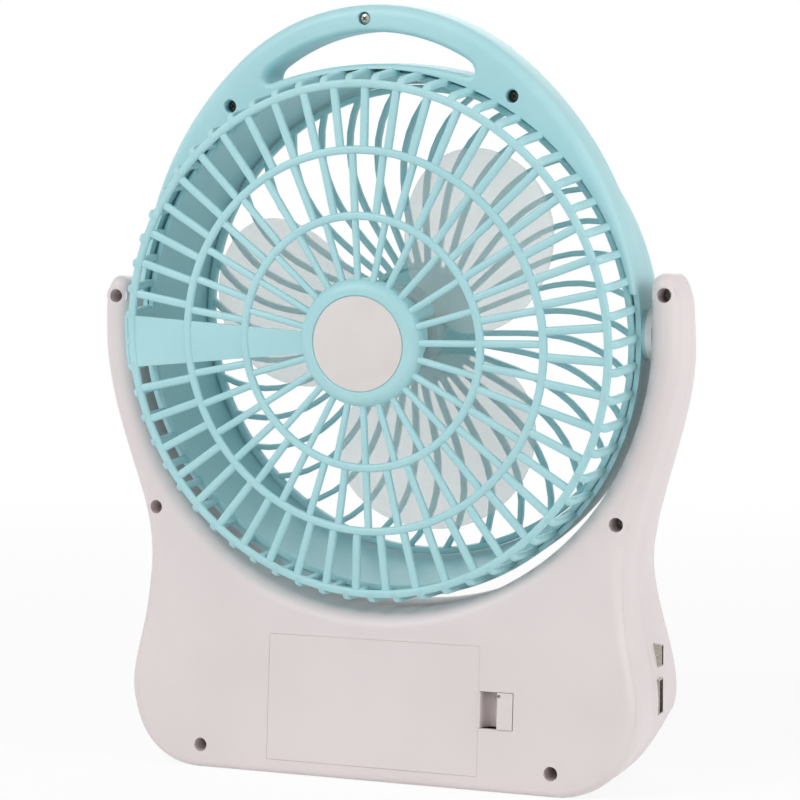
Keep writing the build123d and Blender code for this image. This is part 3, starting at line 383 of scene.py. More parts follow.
def standPaths():
    # Outer path: floor line, corner arc, waisted side, rounded arm tip. Inner path: where the line from the
    # pivot to the outer point leaves the cradle circle, then straight up the arm and round its tip.
    s = stand
    quarter = np.linspace(0, math.pi / 2, 19)
    floor = np.column_stack([np.linspace(0, s["bulgeHalf"] - s["corner"], 16), np.zeros(16)])
    arc = s["corner"] * np.column_stack([np.sin(quarter), 1 - np.cos(quarter)])
    arc[:, 0] += s["bulgeHalf"] - s["corner"]
    sideZ = np.linspace(s["corner"], s["shoulderZ"], 64)
    side = np.column_stack([waistX(sideZ), sideZ])
    tipX = s["cradle"] + s["tipRadius"]
    tip = np.column_stack([
        tipX + (s["armHalf"] - tipX) * np.cos(quarter),
        s["shoulderZ"] + (s["height"] - s["tipLeft"] - s["shoulderZ"]) * np.sin(quarter)])
    outer = np.concatenate([floor[:-1], arc[:-1], side[:-1], tip])
    tipRise = np.clip(outer[:, 1] - (s["height"] - s["tipRadius"]), 0, None)
    upright = tipX - np.sqrt(s["tipRadius"]**2 - tipRise**2)
    ray = outer - [0, pivot[2]]
    ring = s["cradle"] * ray / np.linalg.norm(ray, axis=1, keepdims=True) + [0, pivot[2]]
    above = (outer[:, 1] > pivot[2])[:, None]
    inner = np.where(above, np.column_stack([upright, outer[:, 1]]), ring)
    mirror = np.array([-1, 1])
    return (np.concatenate([(outer * mirror)[:0:-1], outer]), np.concatenate([(inner * mirror)[:0:-1], inner]))


def tipDrop(z):  # quarter circle that rounds the arms' ends off towards their tops
    s = stand
    rise = np.clip(z - s["height"] + s["tipSoft"], 0, s["tipSoft"])
    return s["tipSoft"] - np.sqrt(s["tipSoft"]**2 - rise**2)


def rearY(z):  # leaning lower face running softly into the upright arms
    s = stand
    slope = (s["depth"] / 2 - s["rearArmY"]) / s["leanTopZ"]
    over = s["leanTopZ"] - z
    soft = np.where(np.abs(over) < s["kinkReach"], (over + s["kinkReach"]) ** 2 / (4 * s["kinkReach"]),
                    np.maximum(over, 0))
    return s["rearArmY"] + slope * soft - tipDrop(z)


def frontY(z):  # straight slope from the foot to the arms
    s = stand
    return -s["depth"] / 2 + (s["frontArmY"] + s["depth"] / 2) * z / s["height"] + tipDrop(z)


def standDraft(outer, side):
    # How far the outer wall leans in from the parting to its face: the front half all up its sides and most round
    # its lower corners, the rear half only along the flank over the bulge
    s = stand
    turn = np.arctan2(np.abs(outer[:, 0]) - s["bulgeHalf"] + s["corner"], s["corner"] - outer[:, 1])
    turn = np.clip(turn, 0, math.pi / 2)[:, None]
    if side < 0:
        return s["frontDraft"] * np.sin(turn) ** 2 + s["cornerDraft"] * np.sin(2 * turn) ** 2
    return s["flankDraft"] * np.exp(-((outer[:, 1:] - s["flankZ"]) / s["flankReach"]) ** 2)


def standShell(faceY, side, edges):  # side: 1 for the rear half, -1 for the front half
    # At each step of the paths a closed section runs up the outer wall, round an edge, over the face, round the
    # cradle edge and down the inner wall, then back inside at the wall's thickness.
    s = stand
    outer, inner = standPaths()
    span = inner - outer
    length = np.linalg.norm(span, axis=1, keepdims=True)
    span = span / length
    floorEdge, sideEdge, cradleEdge, armEdge = edges
    rise = np.clip(outer[:, 1:] / s["edgeRise"], 0, 1)
    lift = np.clip((outer[:, 1:] - s["waistZ"]) / (s["armStraightZ"] - s["waistZ"]), 0, 1)
    outEdge = floorEdge + (sideEdge - floorEdge) * rise**2 * (3 - 2 * rise) + (armEdge - sideEdge) * lift
    outEdge = np.minimum(outEdge, s["edgeShare"] * length)
    inEdge = np.minimum(cradleEdge, s["edgeShare"] * length)
    wall = np.minimum(s["wall"], s["wallShare"] * length)
    parting = s["partingY"] + side * s["seam"] / 2
    lip = np.minimum(s["seamEdge"], s["seamShare"] * length)
    up, down = np.linspace(0, 1, 5), np.linspace(1, 0, 5)
    bend = np.radians(np.linspace(0, 90, 9))[None, 1:-1]
    across = np.linspace(0, 1, 20)[None]
    steps = len(outer)

    def faceAt(d):
        return faceY(outer[:, 1:] + span[:, 1:] * d)

    def wallRun(d, inset, shares):
        return parting + shares[None] * (faceAt(d) - side * inset - parting)

    draft = standDraft(outer, side)
    inside = wall + draft
    begin = draft + outEdge
    start = np.broadcast_to(parting, (steps, 1))
    rows = [
        (lip, start),
        (draft * up[None] ** 2, wallRun(draft, outEdge, up) + side * lip * down[None]),
        (draft + outEdge * (1 - np.cos(bend)), None),
        (begin + across * (length - begin - inEdge), None),
        (length - inEdge * (1 - np.cos(bend[:, ::-1])), None),
        (np.broadcast_to(length, (steps, 5)), wallRun(length, inEdge, down) + side * lip * up[None]),
        (length - lip, start),
        (np.broadcast_to(length - wall, (steps, 3)), wallRun(length - wall, wall, np.array([0, 0.5, 1]))),
        (length - wall + np.linspace(0.1, 0.9, 9)[None] * (wall + inside - length), None),
        (wall + draft * np.array([[1, 0.25, 0]]), wallRun(inside, wall, np.array([1, 0.5, 0]))),
    ]
    drops = {2: outEdge * (1 - np.sin(bend)), 3: 0 * length, 4: inEdge * (1 - np.sin(bend[:, ::-1])), 8: wall}
    depth = np.concatenate([row[0] for row in rows], 1)
    height = np.concatenate([faceAt(d) - side * drops[i] if y is None else y for i, (d, y) in enumerate(rows)], 1)
    flat = outer[:, None] + span[:, None] * depth[..., None]
    return gridPart(np.stack([flat[..., 0], height, flat[..., 1]], -1))


def screwHoles():  # round bars along y at every screw place, from inside out through the rear face
    ring = roundedRect(2 * standScrews["holeRadius"], 2 * standScrews["holeRadius"], standScrews["holeRadius"], 7)
    low = stand["partingY"] + standScrews["cutFrom"]
    return [extruded(ring + [x, z], low, stand["depth"], (0, 2, 1))
            for place, z in standScrews["places"] for x in (-place, place)]


door = dict(
    halfWidth=42.6, bottom=5.5, top=53.4, gap=0.04, plate=2.2, edge=0.15, cutOut=6.0, cutIn=6.2,
    latchBottom=23.3, latchTop=37.0, latchReach=13.4, tongue=6.0, tongueGap=0.3, tongueRise=0.6, pocket=9.0, leaf=1.4,
    notchInset=0.1, notchWide=1.4, notchDrop=0.9, notchTall=1.0, notchDeep=0.9,
    tabPlaces=(0.22, 0.78), tabReach=3.0, tabHeight=7.0, tabThick=1.4, tabDeep=0.5)


def doorOpening():  # outline of the door and its latch carried through the rear wall
    d = door
    half, right, low, top = d["halfWidth"], d["halfWidth"] + d["latchReach"], d["latchBottom"], d["latchTop"]
    outline = [(-half, d["bottom"]), (half, d["bottom"]), (half, low), (right, low), (right, top), (half, top),
               (half, d["top"]), (-half, d["top"])]
    return onRear(extruded(outline, -d["cutIn"], d["cutOut"]))


ports = dict(places=[(34.0, 13.2, 5.8, 3.6, 0.6), (49.0, 9.0, 1.7, 2.6, 0.8)],  # z, tall, wide, y, corner
             low=-112.0, high=-92.0)


def portCuts():  # rounded upright slots carried along x through the side wall
    return [extruded(roundedRect(wide, tall, corner) + [y, z], ports["low"], ports["high"], (2, 0, 1))
            for z, tall, wide, y, corner in ports["places"]]


def screwSleeves():  # round walls behind the holes, down to the screw seats
    s, sleeves = standScrews, []
    foot, hole, outside = s["seatY"] - s["sleeveFoot"], s["holeRadius"], s["holeRadius"] + s["sleeve"]
    for x, z in s["places"]:
        top = float(rearY(np.array(z))) - s["sleeveTop"]
        wall = turned([(hole, foot), (hole, top), (outside, top), (outside, foot)], 32)
        sleeves.append(mirrored(moved(wall, [x, 0, z])))
    return sleeves


def makeStand():
    rear = makeMesh("rear", [standShell(rearY, 1, stand["rearEdges"])])
    rear = withParts(cutAway(rear, screwHoles() + [doorOpening()]), screwSleeves())
    finishPiece("stand_rear_half", rear, "base", "white_abs", ["base_rear_shell"])
    front = cutAway(makeMesh("front", [standShell(frontY, -1, stand["frontEdges"])]), portCuts())
    finishPiece("stand_front_half", front, "base", "white_abs", ["base_front_shell"])


makeStand()
print("stand halves made")


def makeDoor():
    # Plate with a small bevel, and a sprung latch: a U folded down into the pocket that ends in a raised, notched
    # tongue. Two tabs hook behind the opening's other side.
    d = door
    levels = [(d["gap"] + d["edge"], 0.0), (d["gap"], -d["edge"]), (d["gap"], -d["plate"])]
    sideways, upper = np.array([-1, 1, 1, -1]), np.array([False, False, True, True])
    rings = [np.column_stack([sideways * (d["halfWidth"] - inset),
                              np.where(upper, d["top"] - inset, d["bottom"] + inset), np.full(4, level)])
             for inset, level in levels]
    plate = gridPart(np.stack(rings))
    edge, right = d["halfWidth"] - d["gap"] - 0.1, d["halfWidth"] + d["latchReach"] - d["tongueGap"]
    tongue = right - d["tongue"]
    turn = np.linspace(0, math.pi, 15)
    middle, radius = (edge + tongue + 1.0) / 2, (tongue - edge - 1.0) / 2
    bottom = -d["pocket"] + radius + d["leaf"]
    inside = np.column_stack([middle - radius * np.cos(turn), bottom - radius * np.sin(turn)])
    under = radius + d["leaf"]
    outside = np.column_stack([middle + under * np.cos(turn), bottom - under * np.sin(turn)])
    profile = np.concatenate([
        [(edge - 2, -0.05), (edge, -0.05), (edge + 0.6, -0.35)], inside,
        [(tongue, d["tongueRise"] - 0.5), (tongue + 0.4, d["tongueRise"]), (right - 0.5, d["tongueRise"]),
         (right, d["tongueRise"] - 0.4), (right, -d["leaf"] - 0.4),
         (tongue + d["leaf"], -d["leaf"] - 0.4)], outside, [(edge - 0.4, -d["plate"]), (edge - 2, -d["plate"])]])
    spare = d["tongueGap"] / 2
    latch = extruded(profile, d["latchBottom"] + spare, d["latchTop"] - spare, (0, 2, 1))
    tabs = []
    bar, tabY = roundedRect(d["tabHeight"], d["tabThick"], 0.3), -d["plate"] - d["tabDeep"]
    for share in d["tabPlaces"]:
        v = d["bottom"] + share * (d["top"] - d["bottom"])
        path = [(-d["halfWidth"] + 4, v, tabY), (-d["halfWidth"] - d["tabReach"], v, tabY)]
        tabs.append(swept(path, (0, 1, 0), (0, 0, 1), bar))
    left, top = tongue + d["notchInset"], d["latchTop"] - d["notchDrop"]
    over, low = left + d["notchWide"], top - d["notchTall"]
    notch = extruded([(left, low), (over, low), (over, top), (left, top)], -d["notchDeep"], 2)
    mesh = cutAway(makeMesh("latch", [onRear(latch)]), [onRear(notch)])
    mesh = withParts(mesh, [onRear(part) for part in [plate] + tabs])
    finishPiece("door_with_latch", mesh, "door", "white_abs", ["battery_door"])


makeDoor()
print("battery door made")


# Screws with a domed head and a cross recess

def crossScrews(places, radius, height):
    # A dome on a short rim turned about y, less two crossed bars that narrow downwards; places: seat in x, z and y
    turn = np.linspace(0, math.pi / 2, 9)
    dome = np.column_stack([radius * np.cos(turn), 0.45 * height + 0.55 * height * np.sin(turn)])
    loop = np.concatenate([[(0, 0), (radius, 0)], dome])
    heads, slots = [], ([], [])
    reach, half = 0.62 * radius, 0.12 * radius
    bar = np.array([(-reach, half), (reach, half), (reach, -half), (-reach, -half)])
    taper = [np.column_stack([bar * share, np.full(4, level)]) for share, level in ((0.35, 0.3), (1.0, 1.2))]
    points, faces = gridPart(np.stack(taper) * [1, 1, height])
    for x, z, y in places:
        heads.append(moved(turned(loop, 32), [x, y, z]))
        for way, angle in zip(slots, (45.0, 135.0)):
            slot = aroundHub((points[:, [0, 2, 1]], faces), np.array([angle]))
            way.append(moved(slot, [x, y, z]))
    return cutAway(cutAway(makeMesh("screws", heads), slots[0]), slots[1])


handleScrews = dict(places=[(56.1, 87.5), (-56.1, 87.5), (0.0, 117.7)], seatY=8.6, topSeatY=10.6, headRadius=2.2,
                    headHeight=1.9, topFrom=100.0)


def makeScrews():
    s = standScrews
    places = [(side * x, z, s["seatY"]) for x, z in s["places"] for side in (-1, 1)]
    mesh = crossScrews(places, s["headRadius"], s["headHeight"])
    finishPiece("stand_screw_heads", mesh, "base", "zinc_screw", ["base_screws"])
    h = handleScrews
    places = [(x, z, h["topSeatY"] if z > h["topFrom"] else h["seatY"]) for x, z in h["places"]]
    mesh = crossScrews(places, h["headRadius"], h["headHeight"])
    centres = np.zeros(len(mesh.polygons) * 3)
    mesh.polygons.foreach_get("center", centres)
    shadedSunkScrews = centres.reshape(-1, 3)[:, 2] < h["topFrom"] * mm  # the two sunk screws, which take the painted shade
    piece = finishPiece("handle_screw_heads", toHead(mesh), "head", "zinc_screw", ["handle_screws"])
    # darker zinc on the sunk screws is painted shade of their deep holes
    piece.data.materials.append(looks["shade_painted_zinc"])
    piece.data.polygons.foreach_set("material_index", shadedSunkScrews.astype(np.int32))


makeScrews()
print("screws made")


# Head: drum, handle and crescent

drum = dict(radius=100.5, frontRadius=95.7, frontY=-35.0, taperY=-13.0, taperPower=1.8, lip=93.0, inner=97.0,
            innerStep=15.0, splitY=6.3, lipRound=1.2, seat=99.3, seatWall=1.9, stepZ=16.0, stepY=9.0, stepReach=120.0,
            stepTop=20.0, padStart=98.2, padRadius=9.0, padEnd=103.6, pinRadius=6.0, pinEnd=110.6, pinBore=2.5,
            pinEdge=0.5)
handle = dict(centreZ=39.7, radius=83.0, sideRadius=130.0, rearY=13.4, frontY=-6.6, rearEdge=4.2, frontEdge=5.0,
              seat=99.0, seatWall=1.2, gripHalf=42.0, gripTopZ=112.8, gripTopRadius=72.0, gripBottomZ=101.2,
              gripBottomRadius=137.0, gripSoft=7.5, gripEdge=2.2, holeRadius=2.4, holeFlare=1.3, gap=0.05)


def eggRadius(turn):
    # Along a ray from the pivot: the drum's circle below, the handle's circle above, and on each side a large arc
    # that touches both from outside
    h, r = handle, drum["radius"]
    topReach, drumReach = h["sideRadius"] - h["radius"], h["sideRadius"] - r
    sideZ = (h["centreZ"] ** 2 - topReach**2 + drumReach**2) / (2 * h["centreZ"])
    sideX = math.sqrt(drumReach**2 - sideZ**2)
    c, s = np.abs(np.cos(turn)), np.sin(turn)
    top = h["centreZ"] * s + np.sqrt(h["radius"] ** 2 - (h["centreZ"] * c) ** 2)
    side = sideZ * s - sideX * c + np.sqrt(h["sideRadius"] ** 2 - (sideX * s + sideZ * c) ** 2)
    height = np.arctan2(s, c)
    touchZ = h["centreZ"] + h["radius"] * (h["centreZ"] - sideZ) / topReach
    topFrom = math.atan2(touchZ, h["radius"] * sideX / topReach)
    return np.where(height > topFrom, top, np.where(height > -math.atan2(sideZ, sideX), side, r))


def eggRing(seatRadius, wall, farY, nearY, edge, steps=360):
    # At each angle a section from the inner circle to the egg outline, with its far outer edge rounded
    turn = np.linspace(0, 2 * math.pi, steps, endpoint=False)
    outer = eggRadius(turn)[:, None]
    innerRadius = np.minimum(seatRadius, outer - wall)
    length = outer - innerRadius
    sign = 1 if farY > nearY else -1
    bend = np.radians(np.linspace(0, 90, 8))[None]
    edge = np.minimum(edge, 0.85 * length)
    across = np.linspace(0, 1, 7)[None]
    reach = np.concatenate([across * (length - edge), length - edge * (1 - np.sin(bend)), length, 0 * length], 1)
    ones = np.ones_like(length)
    level = np.concatenate([farY + 0 * across * ones, farY - sign * edge * (1 - np.cos(bend)), nearY * ones,
                            nearY * ones], 1)
    radius = innerRadius + reach
    points = np.stack([radius * np.cos(turn)[:, None], level, radius * np.sin(turn)[:, None]], -1)
    return gridPart(points, closeRows=True, capEnds=False)


def gripLens(step=0.4):  # two arcs joined by short ends, smoothed over a short window so that the ends are round
    h = handle
    x = np.linspace(-h["gripHalf"], h["gripHalf"], 120)
    top = h["gripTopZ"] - h["gripTopRadius"] + np.sqrt(h["gripTopRadius"] ** 2 - x**2)
    low = h["gripBottomZ"] - h["gripBottomRadius"] + np.sqrt(h["gripBottomRadius"] ** 2 - x**2)
    outline = np.concatenate([np.column_stack([x, low]), np.column_stack([x, top])[::-1]])
    loop = np.vstack([outline, outline[:1]])
    along = np.concatenate([[0], np.cumsum(np.linalg.norm(np.diff(loop, axis=0), axis=1))])
    count = int(along[-1] / step)
    spots = np.linspace(0, along[-1], count, endpoint=False)
    even = np.column_stack([np.interp(spots, along, loop[:, k]) for k in (0, 1)])
    window = int(h["gripSoft"] / step) | 1
    wrapped = np.concatenate([even[-window:], even, even[:window]])
    kernel = np.ones(window) / window
    smooth = np.column_stack([np.convolve(wrapped[:, k], kernel, "same") for k in (0, 1)])
    return smooth[window:-window]


def gripCutter():  # the lens carried along y, widening in a quarter round near both faces
    h = handle
    lens = gripLens()
    ahead = np.roll(lens, -1, 0) - np.roll(lens, 1, 0)
    normal = unit(np.column_stack([ahead[:, 1], -ahead[:, 0]]))
    turn = np.radians(np.linspace(0, 90, 8))
    flare = h["gripEdge"] * (1 - np.cos(turn))
    out = h["gripEdge"] * np.sin(turn)
    frontYs, rearYs = h["frontY"] + h["gripEdge"] - out, h["rearY"] - h["gripEdge"] + out
    levels = np.concatenate([[h["frontY"] - 3], frontYs[::-1], rearYs, [h["rearY"] + 3]])
    grow = np.concatenate([[flare[-1]], flare[::-1], flare, [flare[-1]]])
    flat = lens[None] + grow[:, None, None] * normal[None]
    points = np.stack([flat[..., 0], np.broadcast_to(levels[:, None], flat.shape[:2]), flat[..., 1]], -1)
    return gridPart(points)


def drumLoop():  # outer wall tapering to a rounded front lip, inner wall opening a little to the rear
    d = drum
    share = np.linspace(0, 1, 12)
    outer = np.column_stack([
        d["radius"] - (d["radius"] - d["frontRadius"]) * share ** d["taperPower"],
        d["taperY"] + (d["frontY"] + d["lipRound"] - d["taperY"]) * share])
    turn = np.radians(np.linspace(0, 90, 6))[1:]
    r = d["lipRound"]
    lipOut = np.column_stack([d["frontRadius"] - r + r * np.cos(turn), d["frontY"] + r - r * np.sin(turn)])
    lipIn = np.column_stack([d["lip"] + 0.5 - 0.5 * np.sin(turn), d["frontY"] + 0.5 - 0.5 * np.cos(turn)])
    rearEnd = d["splitY"] - handle["gap"]
    return np.concatenate([[(d["radius"] - 0.2, rearEnd), (d["radius"], rearEnd - 0.3)], outer, lipOut, lipIn,
                           [(d["inner"], d["splitY"] - d["innerStep"]), (d["inner"], rearEnd)]])


def trunnion():  # pad and hollow pin, turned about the tilt axis
    d = drum
    edge, bore, start, pad, pin = d["pinEdge"], d["pinBore"], d["padStart"], d["padRadius"], d["pinRadius"]
    padEnd, pinEnd = d["padEnd"], d["pinEnd"]
    loop = [(bore, start), (pad, start), (pad, padEnd - edge), (pad - edge, padEnd), (pin, padEnd),
            (pin, pinEnd - edge), (pin - edge, pinEnd), (bore, pinEnd)]
    points, faces = turned(loop, 48)
    return mirrored((points[:, [1, 0, 2]], faces))


def handleHoles():  # round holes along y down to the screw seats, flared at the rear face
    h, cuts = handle, []
    ring = roundedRect(2 * h["holeRadius"], 2 * h["holeRadius"], h["holeRadius"], 8)
    flare, face = h["holeFlare"], h["rearY"]
    levels = [(1.0, handleScrews["seatY"]), (1.0, face - 0.4), (flare, face + 0.35), (flare, face + 4)]
    for x, z in handleScrews["places"]:
        points = np.stack([np.column_stack([ring[:, 0] * grow + x, np.full(len(ring), y), ring[:, 1] * grow + z])
                           for grow, y in levels])
        cuts.append(gridPart(points))
    return cuts


def makeHead():
    h, d = handle, drum
    half = eggRing(h["seat"], h["seatWall"], h["frontY"], d["splitY"] - h["gap"], h["frontEdge"])
    front = cutAway(makeMesh("grip", [half]), [gripCutter()])
    front = toHead(withParts(front, [turned(drumLoop(), 240), trunnion()]))
    finishPiece("drum_and_handle_front", front, "head", "turquoise_abs", ["front_housing"])
    half = eggRing(d["seat"], d["seatWall"], h["rearY"], d["splitY"] + h["gap"], h["rearEdge"])
    far, step = d["stepReach"], d["stepZ"]
    below = extruded([(-far, -far), (far, -far), (far, step), (-far, step)], d["stepY"], d["stepTop"], (0, 2, 1))
    rear = makeMesh("crescent", [half])
    for cutters in ([gripCutter()], [below], handleHoles()):  # below lowers the ring under the crescent's ends
        rear = cutAway(rear, cutters)
    finishPiece("crescent_and_handle_rear", toHead(rear), "head", "turquoise_abs", ["rear_housing"])


makeHead()
print("head housings made")


# Rear grille: rings over spokes, a basket of side bars, a domed hub with the motor cup

rearGrille = dict(
    rings=[46.7, 70.6, 94.4], ringWidth=3.0, ringRearY=31.2, ringThick=2.4, counts=[24, 36, 48], offsets=[0, 0, 0.5],
    spokeWidths=[2.5, 2.8, 3.1], spokeRearY=30.7, spokeThick=2.4, sideCount=60, sideWidth=3.0, sideThick=2.6,
    sideFoot=98.4, bendRadius=2.9, bendAngle=80.0, bandRadius=98.3, bandWidth=2.4, bandFrontY=7.0, bandRearY=10.0,
    hubRadius=24.0, hubRearY=33.0, hubFrontY=27.0, hubRound=0.8, crown=1.4, labelSeat=17.9, labelRecess=0.6,
    channelHub=8.0, channelRim=20.0, channelThick=1.8, channelClear=4.0, cupInner=14.1, cupOuter=15.9, cupFrontY=4.0,
    cupRoof=2.5, earRadius=3.0, earBore=1.05, earPlace=18.4, earAngles=(30.0, 150.0, 270.0))


def rearSpokes():  # straight rounded bars from ring to ring, left out where the channel lies
    g, parts = rearGrille, []
    middleY = g["spokeRearY"] - g["spokeThick"] / 2
    starts = [g["hubRadius"] - 1.5] + g["rings"][:-1]
    for low, high, count, offset, width in zip(starts, g["rings"], g["counts"], g["offsets"], g["spokeWidths"]):
        section = roundedRect(width, g["spokeThick"], 1.0, 3)
        angles = (np.arange(count) + offset) * 360 / count
        angles = angles[np.abs((angles + 180) % 360 - 180) >= g["channelClear"]]
        bar = swept([(low, middleY, 0), (high, middleY, 0)], (0, 0, 1), (0, 1, 0), section)
        parts.append(aroundHub(bar, angles))
    return parts


def rearRings():  # rounded sections turned about the hub
    g = rearGrille
    section = roundedRect(g["ringWidth"], g["ringThick"], 1.05, 4)
    return [turned(section + [radius, g["ringRearY"] - g["ringThick"] / 2], 180) for radius in g["rings"]]


def sideBars():  # each bar comes off the rim ring in a quarter bend and runs forward to the band
    g = rearGrille
    turn = np.radians(np.linspace(0, g["bendAngle"], 7))
    startR, startY = g["rings"][-1] - 0.4, g["ringRearY"] - 1.2
    bend = np.column_stack([startR + g["bendRadius"] * np.sin(turn), startY - g["bendRadius"] * (1 - np.cos(turn))])
    run = np.array([[g["sideFoot"], handle["rearY"]], [g["sideFoot"] - 0.4, g["bandRearY"] - 1]])
    path = np.concatenate([bend, run])
    along = unit(np.gradient(path, axis=0))
    up = np.column_stack([-along[:, 1], along[:, 0], np.zeros(len(path))])
    section = roundedRect(g["sideWidth"], g["sideThick"], 0.9, 3)
    bar = swept(np.column_stack([path, np.zeros(len(path))]), (0, 0, 1), up, section)
    return aroundHub(bar, np.arange(g["sideCount"]) * 360 / g["sideCount"])


def hubLoop():  # dome falling to the spokes, seat of the label, motor cup underneath
    g = rearGrille
    turn = np.radians(np.linspace(0, 90, 14))
    seat, rear, front, roof = g["labelSeat"], g["hubRearY"], g["hubFrontY"], g["hubFrontY"] + g["cupRoof"]
    crown, floor = seat + g["crown"], rear - g["labelRecess"]
    dome = np.column_stack([crown + (g["hubRadius"] - crown) * np.sin(turn),
                            front + (rear - front) * np.cos(turn) ** g["hubRound"]])
    return np.concatenate([
        [(0, floor), (seat, floor), (seat, rear - 0.3), (seat + 0.3, rear)], dome,
        [(g["cupOuter"], front), (g["cupOuter"], g["cupFrontY"]), (g["cupInner"], g["cupFrontY"]),
         (g["cupInner"], roof), (0, roof)]])


def cableChannel():  # flat wedge from the hub to the rim, wider outwards, folded forward at the rim
    g = rearGrille
    low, high = g["hubRadius"] - 2, g["rings"][-1] + 1.2
    x = np.linspace(low, high, 6)
    y = np.full(6, g["spokeRearY"] - 0.2 - g["channelThick"] / 2)
    share = (x - low) / (high - low)
    section = roundedRect(1.0, g["channelThick"], 0.04, 2)
    wedge = swept(np.column_stack([x, y, 0 * x]), (0, 0, 1), (0, 1, 0), section,
                  g["channelHub"] + (g["channelRim"] - g["channelHub"]) * share)
    half = math.degrees(g["channelRim"] / 2 / g["rings"][-1])
    apron = roundedRect(1.8, g["spokeRearY"] - 0.6 - g["bandRearY"] + 2, 0.7, 3)
    apron = apron + [g["bandRadius"] - 1.4, (g["spokeRearY"] - 0.6 + g["bandRearY"] - 2) / 2]
    return [wedge, turned(apron, 10, -half, half)]


def makeRearGrille():
    g = rearGrille
    band = roundedRect(g["bandWidth"], g["bandRearY"] - g["bandFrontY"], 0.6, 3)
    band = band + [g["bandRadius"] - g["bandWidth"] / 2, (g["bandRearY"] + g["bandFrontY"]) / 2]
    bore, low, top = g["earBore"], g["cupFrontY"], g["hubFrontY"] + 0.5
    ear = turned([(bore, low), (g["earRadius"], low), (g["earRadius"], top), (bore, top)], 24)
    ears = aroundHub(moved(ear, [g["earPlace"], 0, 0]), np.array(g["earAngles"]))
    parts = rearSpokes() + rearRings() + [sideBars(), turned(band, 180), turned(hubLoop(), 120), ears]
    mesh = toHead(makeMesh("rear_grille", parts + cableChannel()))
    finishPiece("rear_guard", mesh, "head", "turquoise_abs", ["rear_grille"], 40)


makeRearGrille()
print("rear grille made")

label = dict(radius=17.6, thick=0.4, seatY=32.4, edge=0.12)


def makeLabel():  # a bare film disc with a softened rim
    b = label
    top = b["seatY"] + b["thick"]
    loop = [(0, b["seatY"]), (b["radius"], b["seatY"]), (b["radius"], top - b["edge"]),
            (b["radius"] - b["edge"], top), (0, top)]
    mesh = toHead(makeMesh("label", [turned(loop, 96)]))
    finishPiece("bare_label", mesh, "head", "label_film", ["label_disc"])


makeLabel()
print("label made")


# Front grille: curved spokes between a domed cap and a rim

frontGrille = dict(count=36, width=2.2, depth=3.6, lag=6.0, bulge=5.0, hubRadius=24.0, rimRadius=92.7, rimWidth=2.6,
                   frontY=-34.4, rearY=-30.6, capRise=2.0, capWall=2.0)


def frontSpoke():  # angle grows as a quadratic of the radius: back by the bulge half way, ahead by the lag at the rim
    g = frontGrille
    share = np.linspace(0, 1, 13)
    radius = g["hubRadius"] - 2 + (g["rimRadius"] - g["rimWidth"] / 2 - g["hubRadius"] + 2) * share
    square = 2 * g["lag"] + 4 * g["bulge"]
    turn = np.radians((g["lag"] - square) * share + square * share**2)
    y = np.full(13, g["frontY"] + g["depth"] / 2)
    path = np.column_stack([radius * np.cos(turn), y, radius * np.sin(turn)])
    along = unit(np.gradient(path, axis=0))
    side = np.column_stack([-along[:, 2], np.zeros(13), along[:, 0]])
    return swept(path, side, (0, 1, 0), roundedRect(g["width"], g["depth"], 0.9, 3))


def makeFrontGrille():
    g = frontGrille
    rim = roundedRect(g["rimWidth"], g["rearY"] - g["frontY"], 0.8, 3)
    rim = rim + [g["rimRadius"] - g["rimWidth"] / 2, (g["frontY"] + g["rearY"]) / 2]
    turn = np.radians(np.linspace(0, 90, 12))
    dome = np.column_stack([g["hubRadius"] * np.sin(turn), g["frontY"] + 1.0 - g["capRise"] * np.cos(turn)])
    inner = g["hubRadius"] - g["capWall"]
    cap = np.concatenate([dome, [(g["hubRadius"], g["rearY"]), (inner, g["rearY"]), (inner, g["frontY"] + 3),
                                 (0, g["frontY"] + 1.8)]])
    spokes = aroundHub(frontSpoke(), np.arange(g["count"]) * 360 / g["count"])
    mesh = toHead(makeMesh("front_grille", [turned(rim, 180), turned(cap, 96), spokes]))
    finishPiece("front_guard", mesh, "head", "turquoise_abs", ["front_grille"], 40)


makeFrontGrille()
print("front grille made")


# Fan: three twisted paddles on a hub

fan = dict(count=3, tip=79.5, root=13.0, firstAngle=12.0, middleY=-10.0, thick=1.6, halfChord=35.0, camber=2.5,
           rootSlope=0.75, tipSlope=0.24, hubRadius=17.0, hubFrontY=-20.0, hubRearY=-5.0, hubWall=2.0, core=4.5)


def bladePart():
    # Elliptical paddle laid out in rings and spokes; its lift is the chord place times a slope that eases from the
    # root to the tip, less a camber; both faces meet in a rounded rim
    f = fan
    share = np.concatenate([np.linspace(0, 0.94, 18), 1 - 0.06 * np.cos(np.linspace(0, math.pi / 2, 7))[1:]])[:, None]
    turn = np.linspace(0, 2 * math.pi, 96, endpoint=False)[None]
    middle, half = (f["tip"] + f["root"]) / 2, (f["tip"] - f["root"]) / 2
    x = middle + half * share * np.cos(turn)
    z = f["halfChord"] * share * np.sin(turn)
    slope = f["rootSlope"] + (f["tipSlope"] - f["rootSlope"]) * np.minimum(x / f["tip"], 1)
    lift = f["middleY"] + slope * z - f["camber"] * (1 - (z / f["halfChord"]) ** 2)
    body = f["thick"] / 2 * np.sqrt(np.clip(1 - share**16, 0, 1)) * np.ones_like(turn)
    faces = [np.stack([x, lift + sign * body, z], -1) for sign in (1, -1)]
    return gridPart(np.concatenate([faces[0], faces[1][::-1]]), capEnds=False)


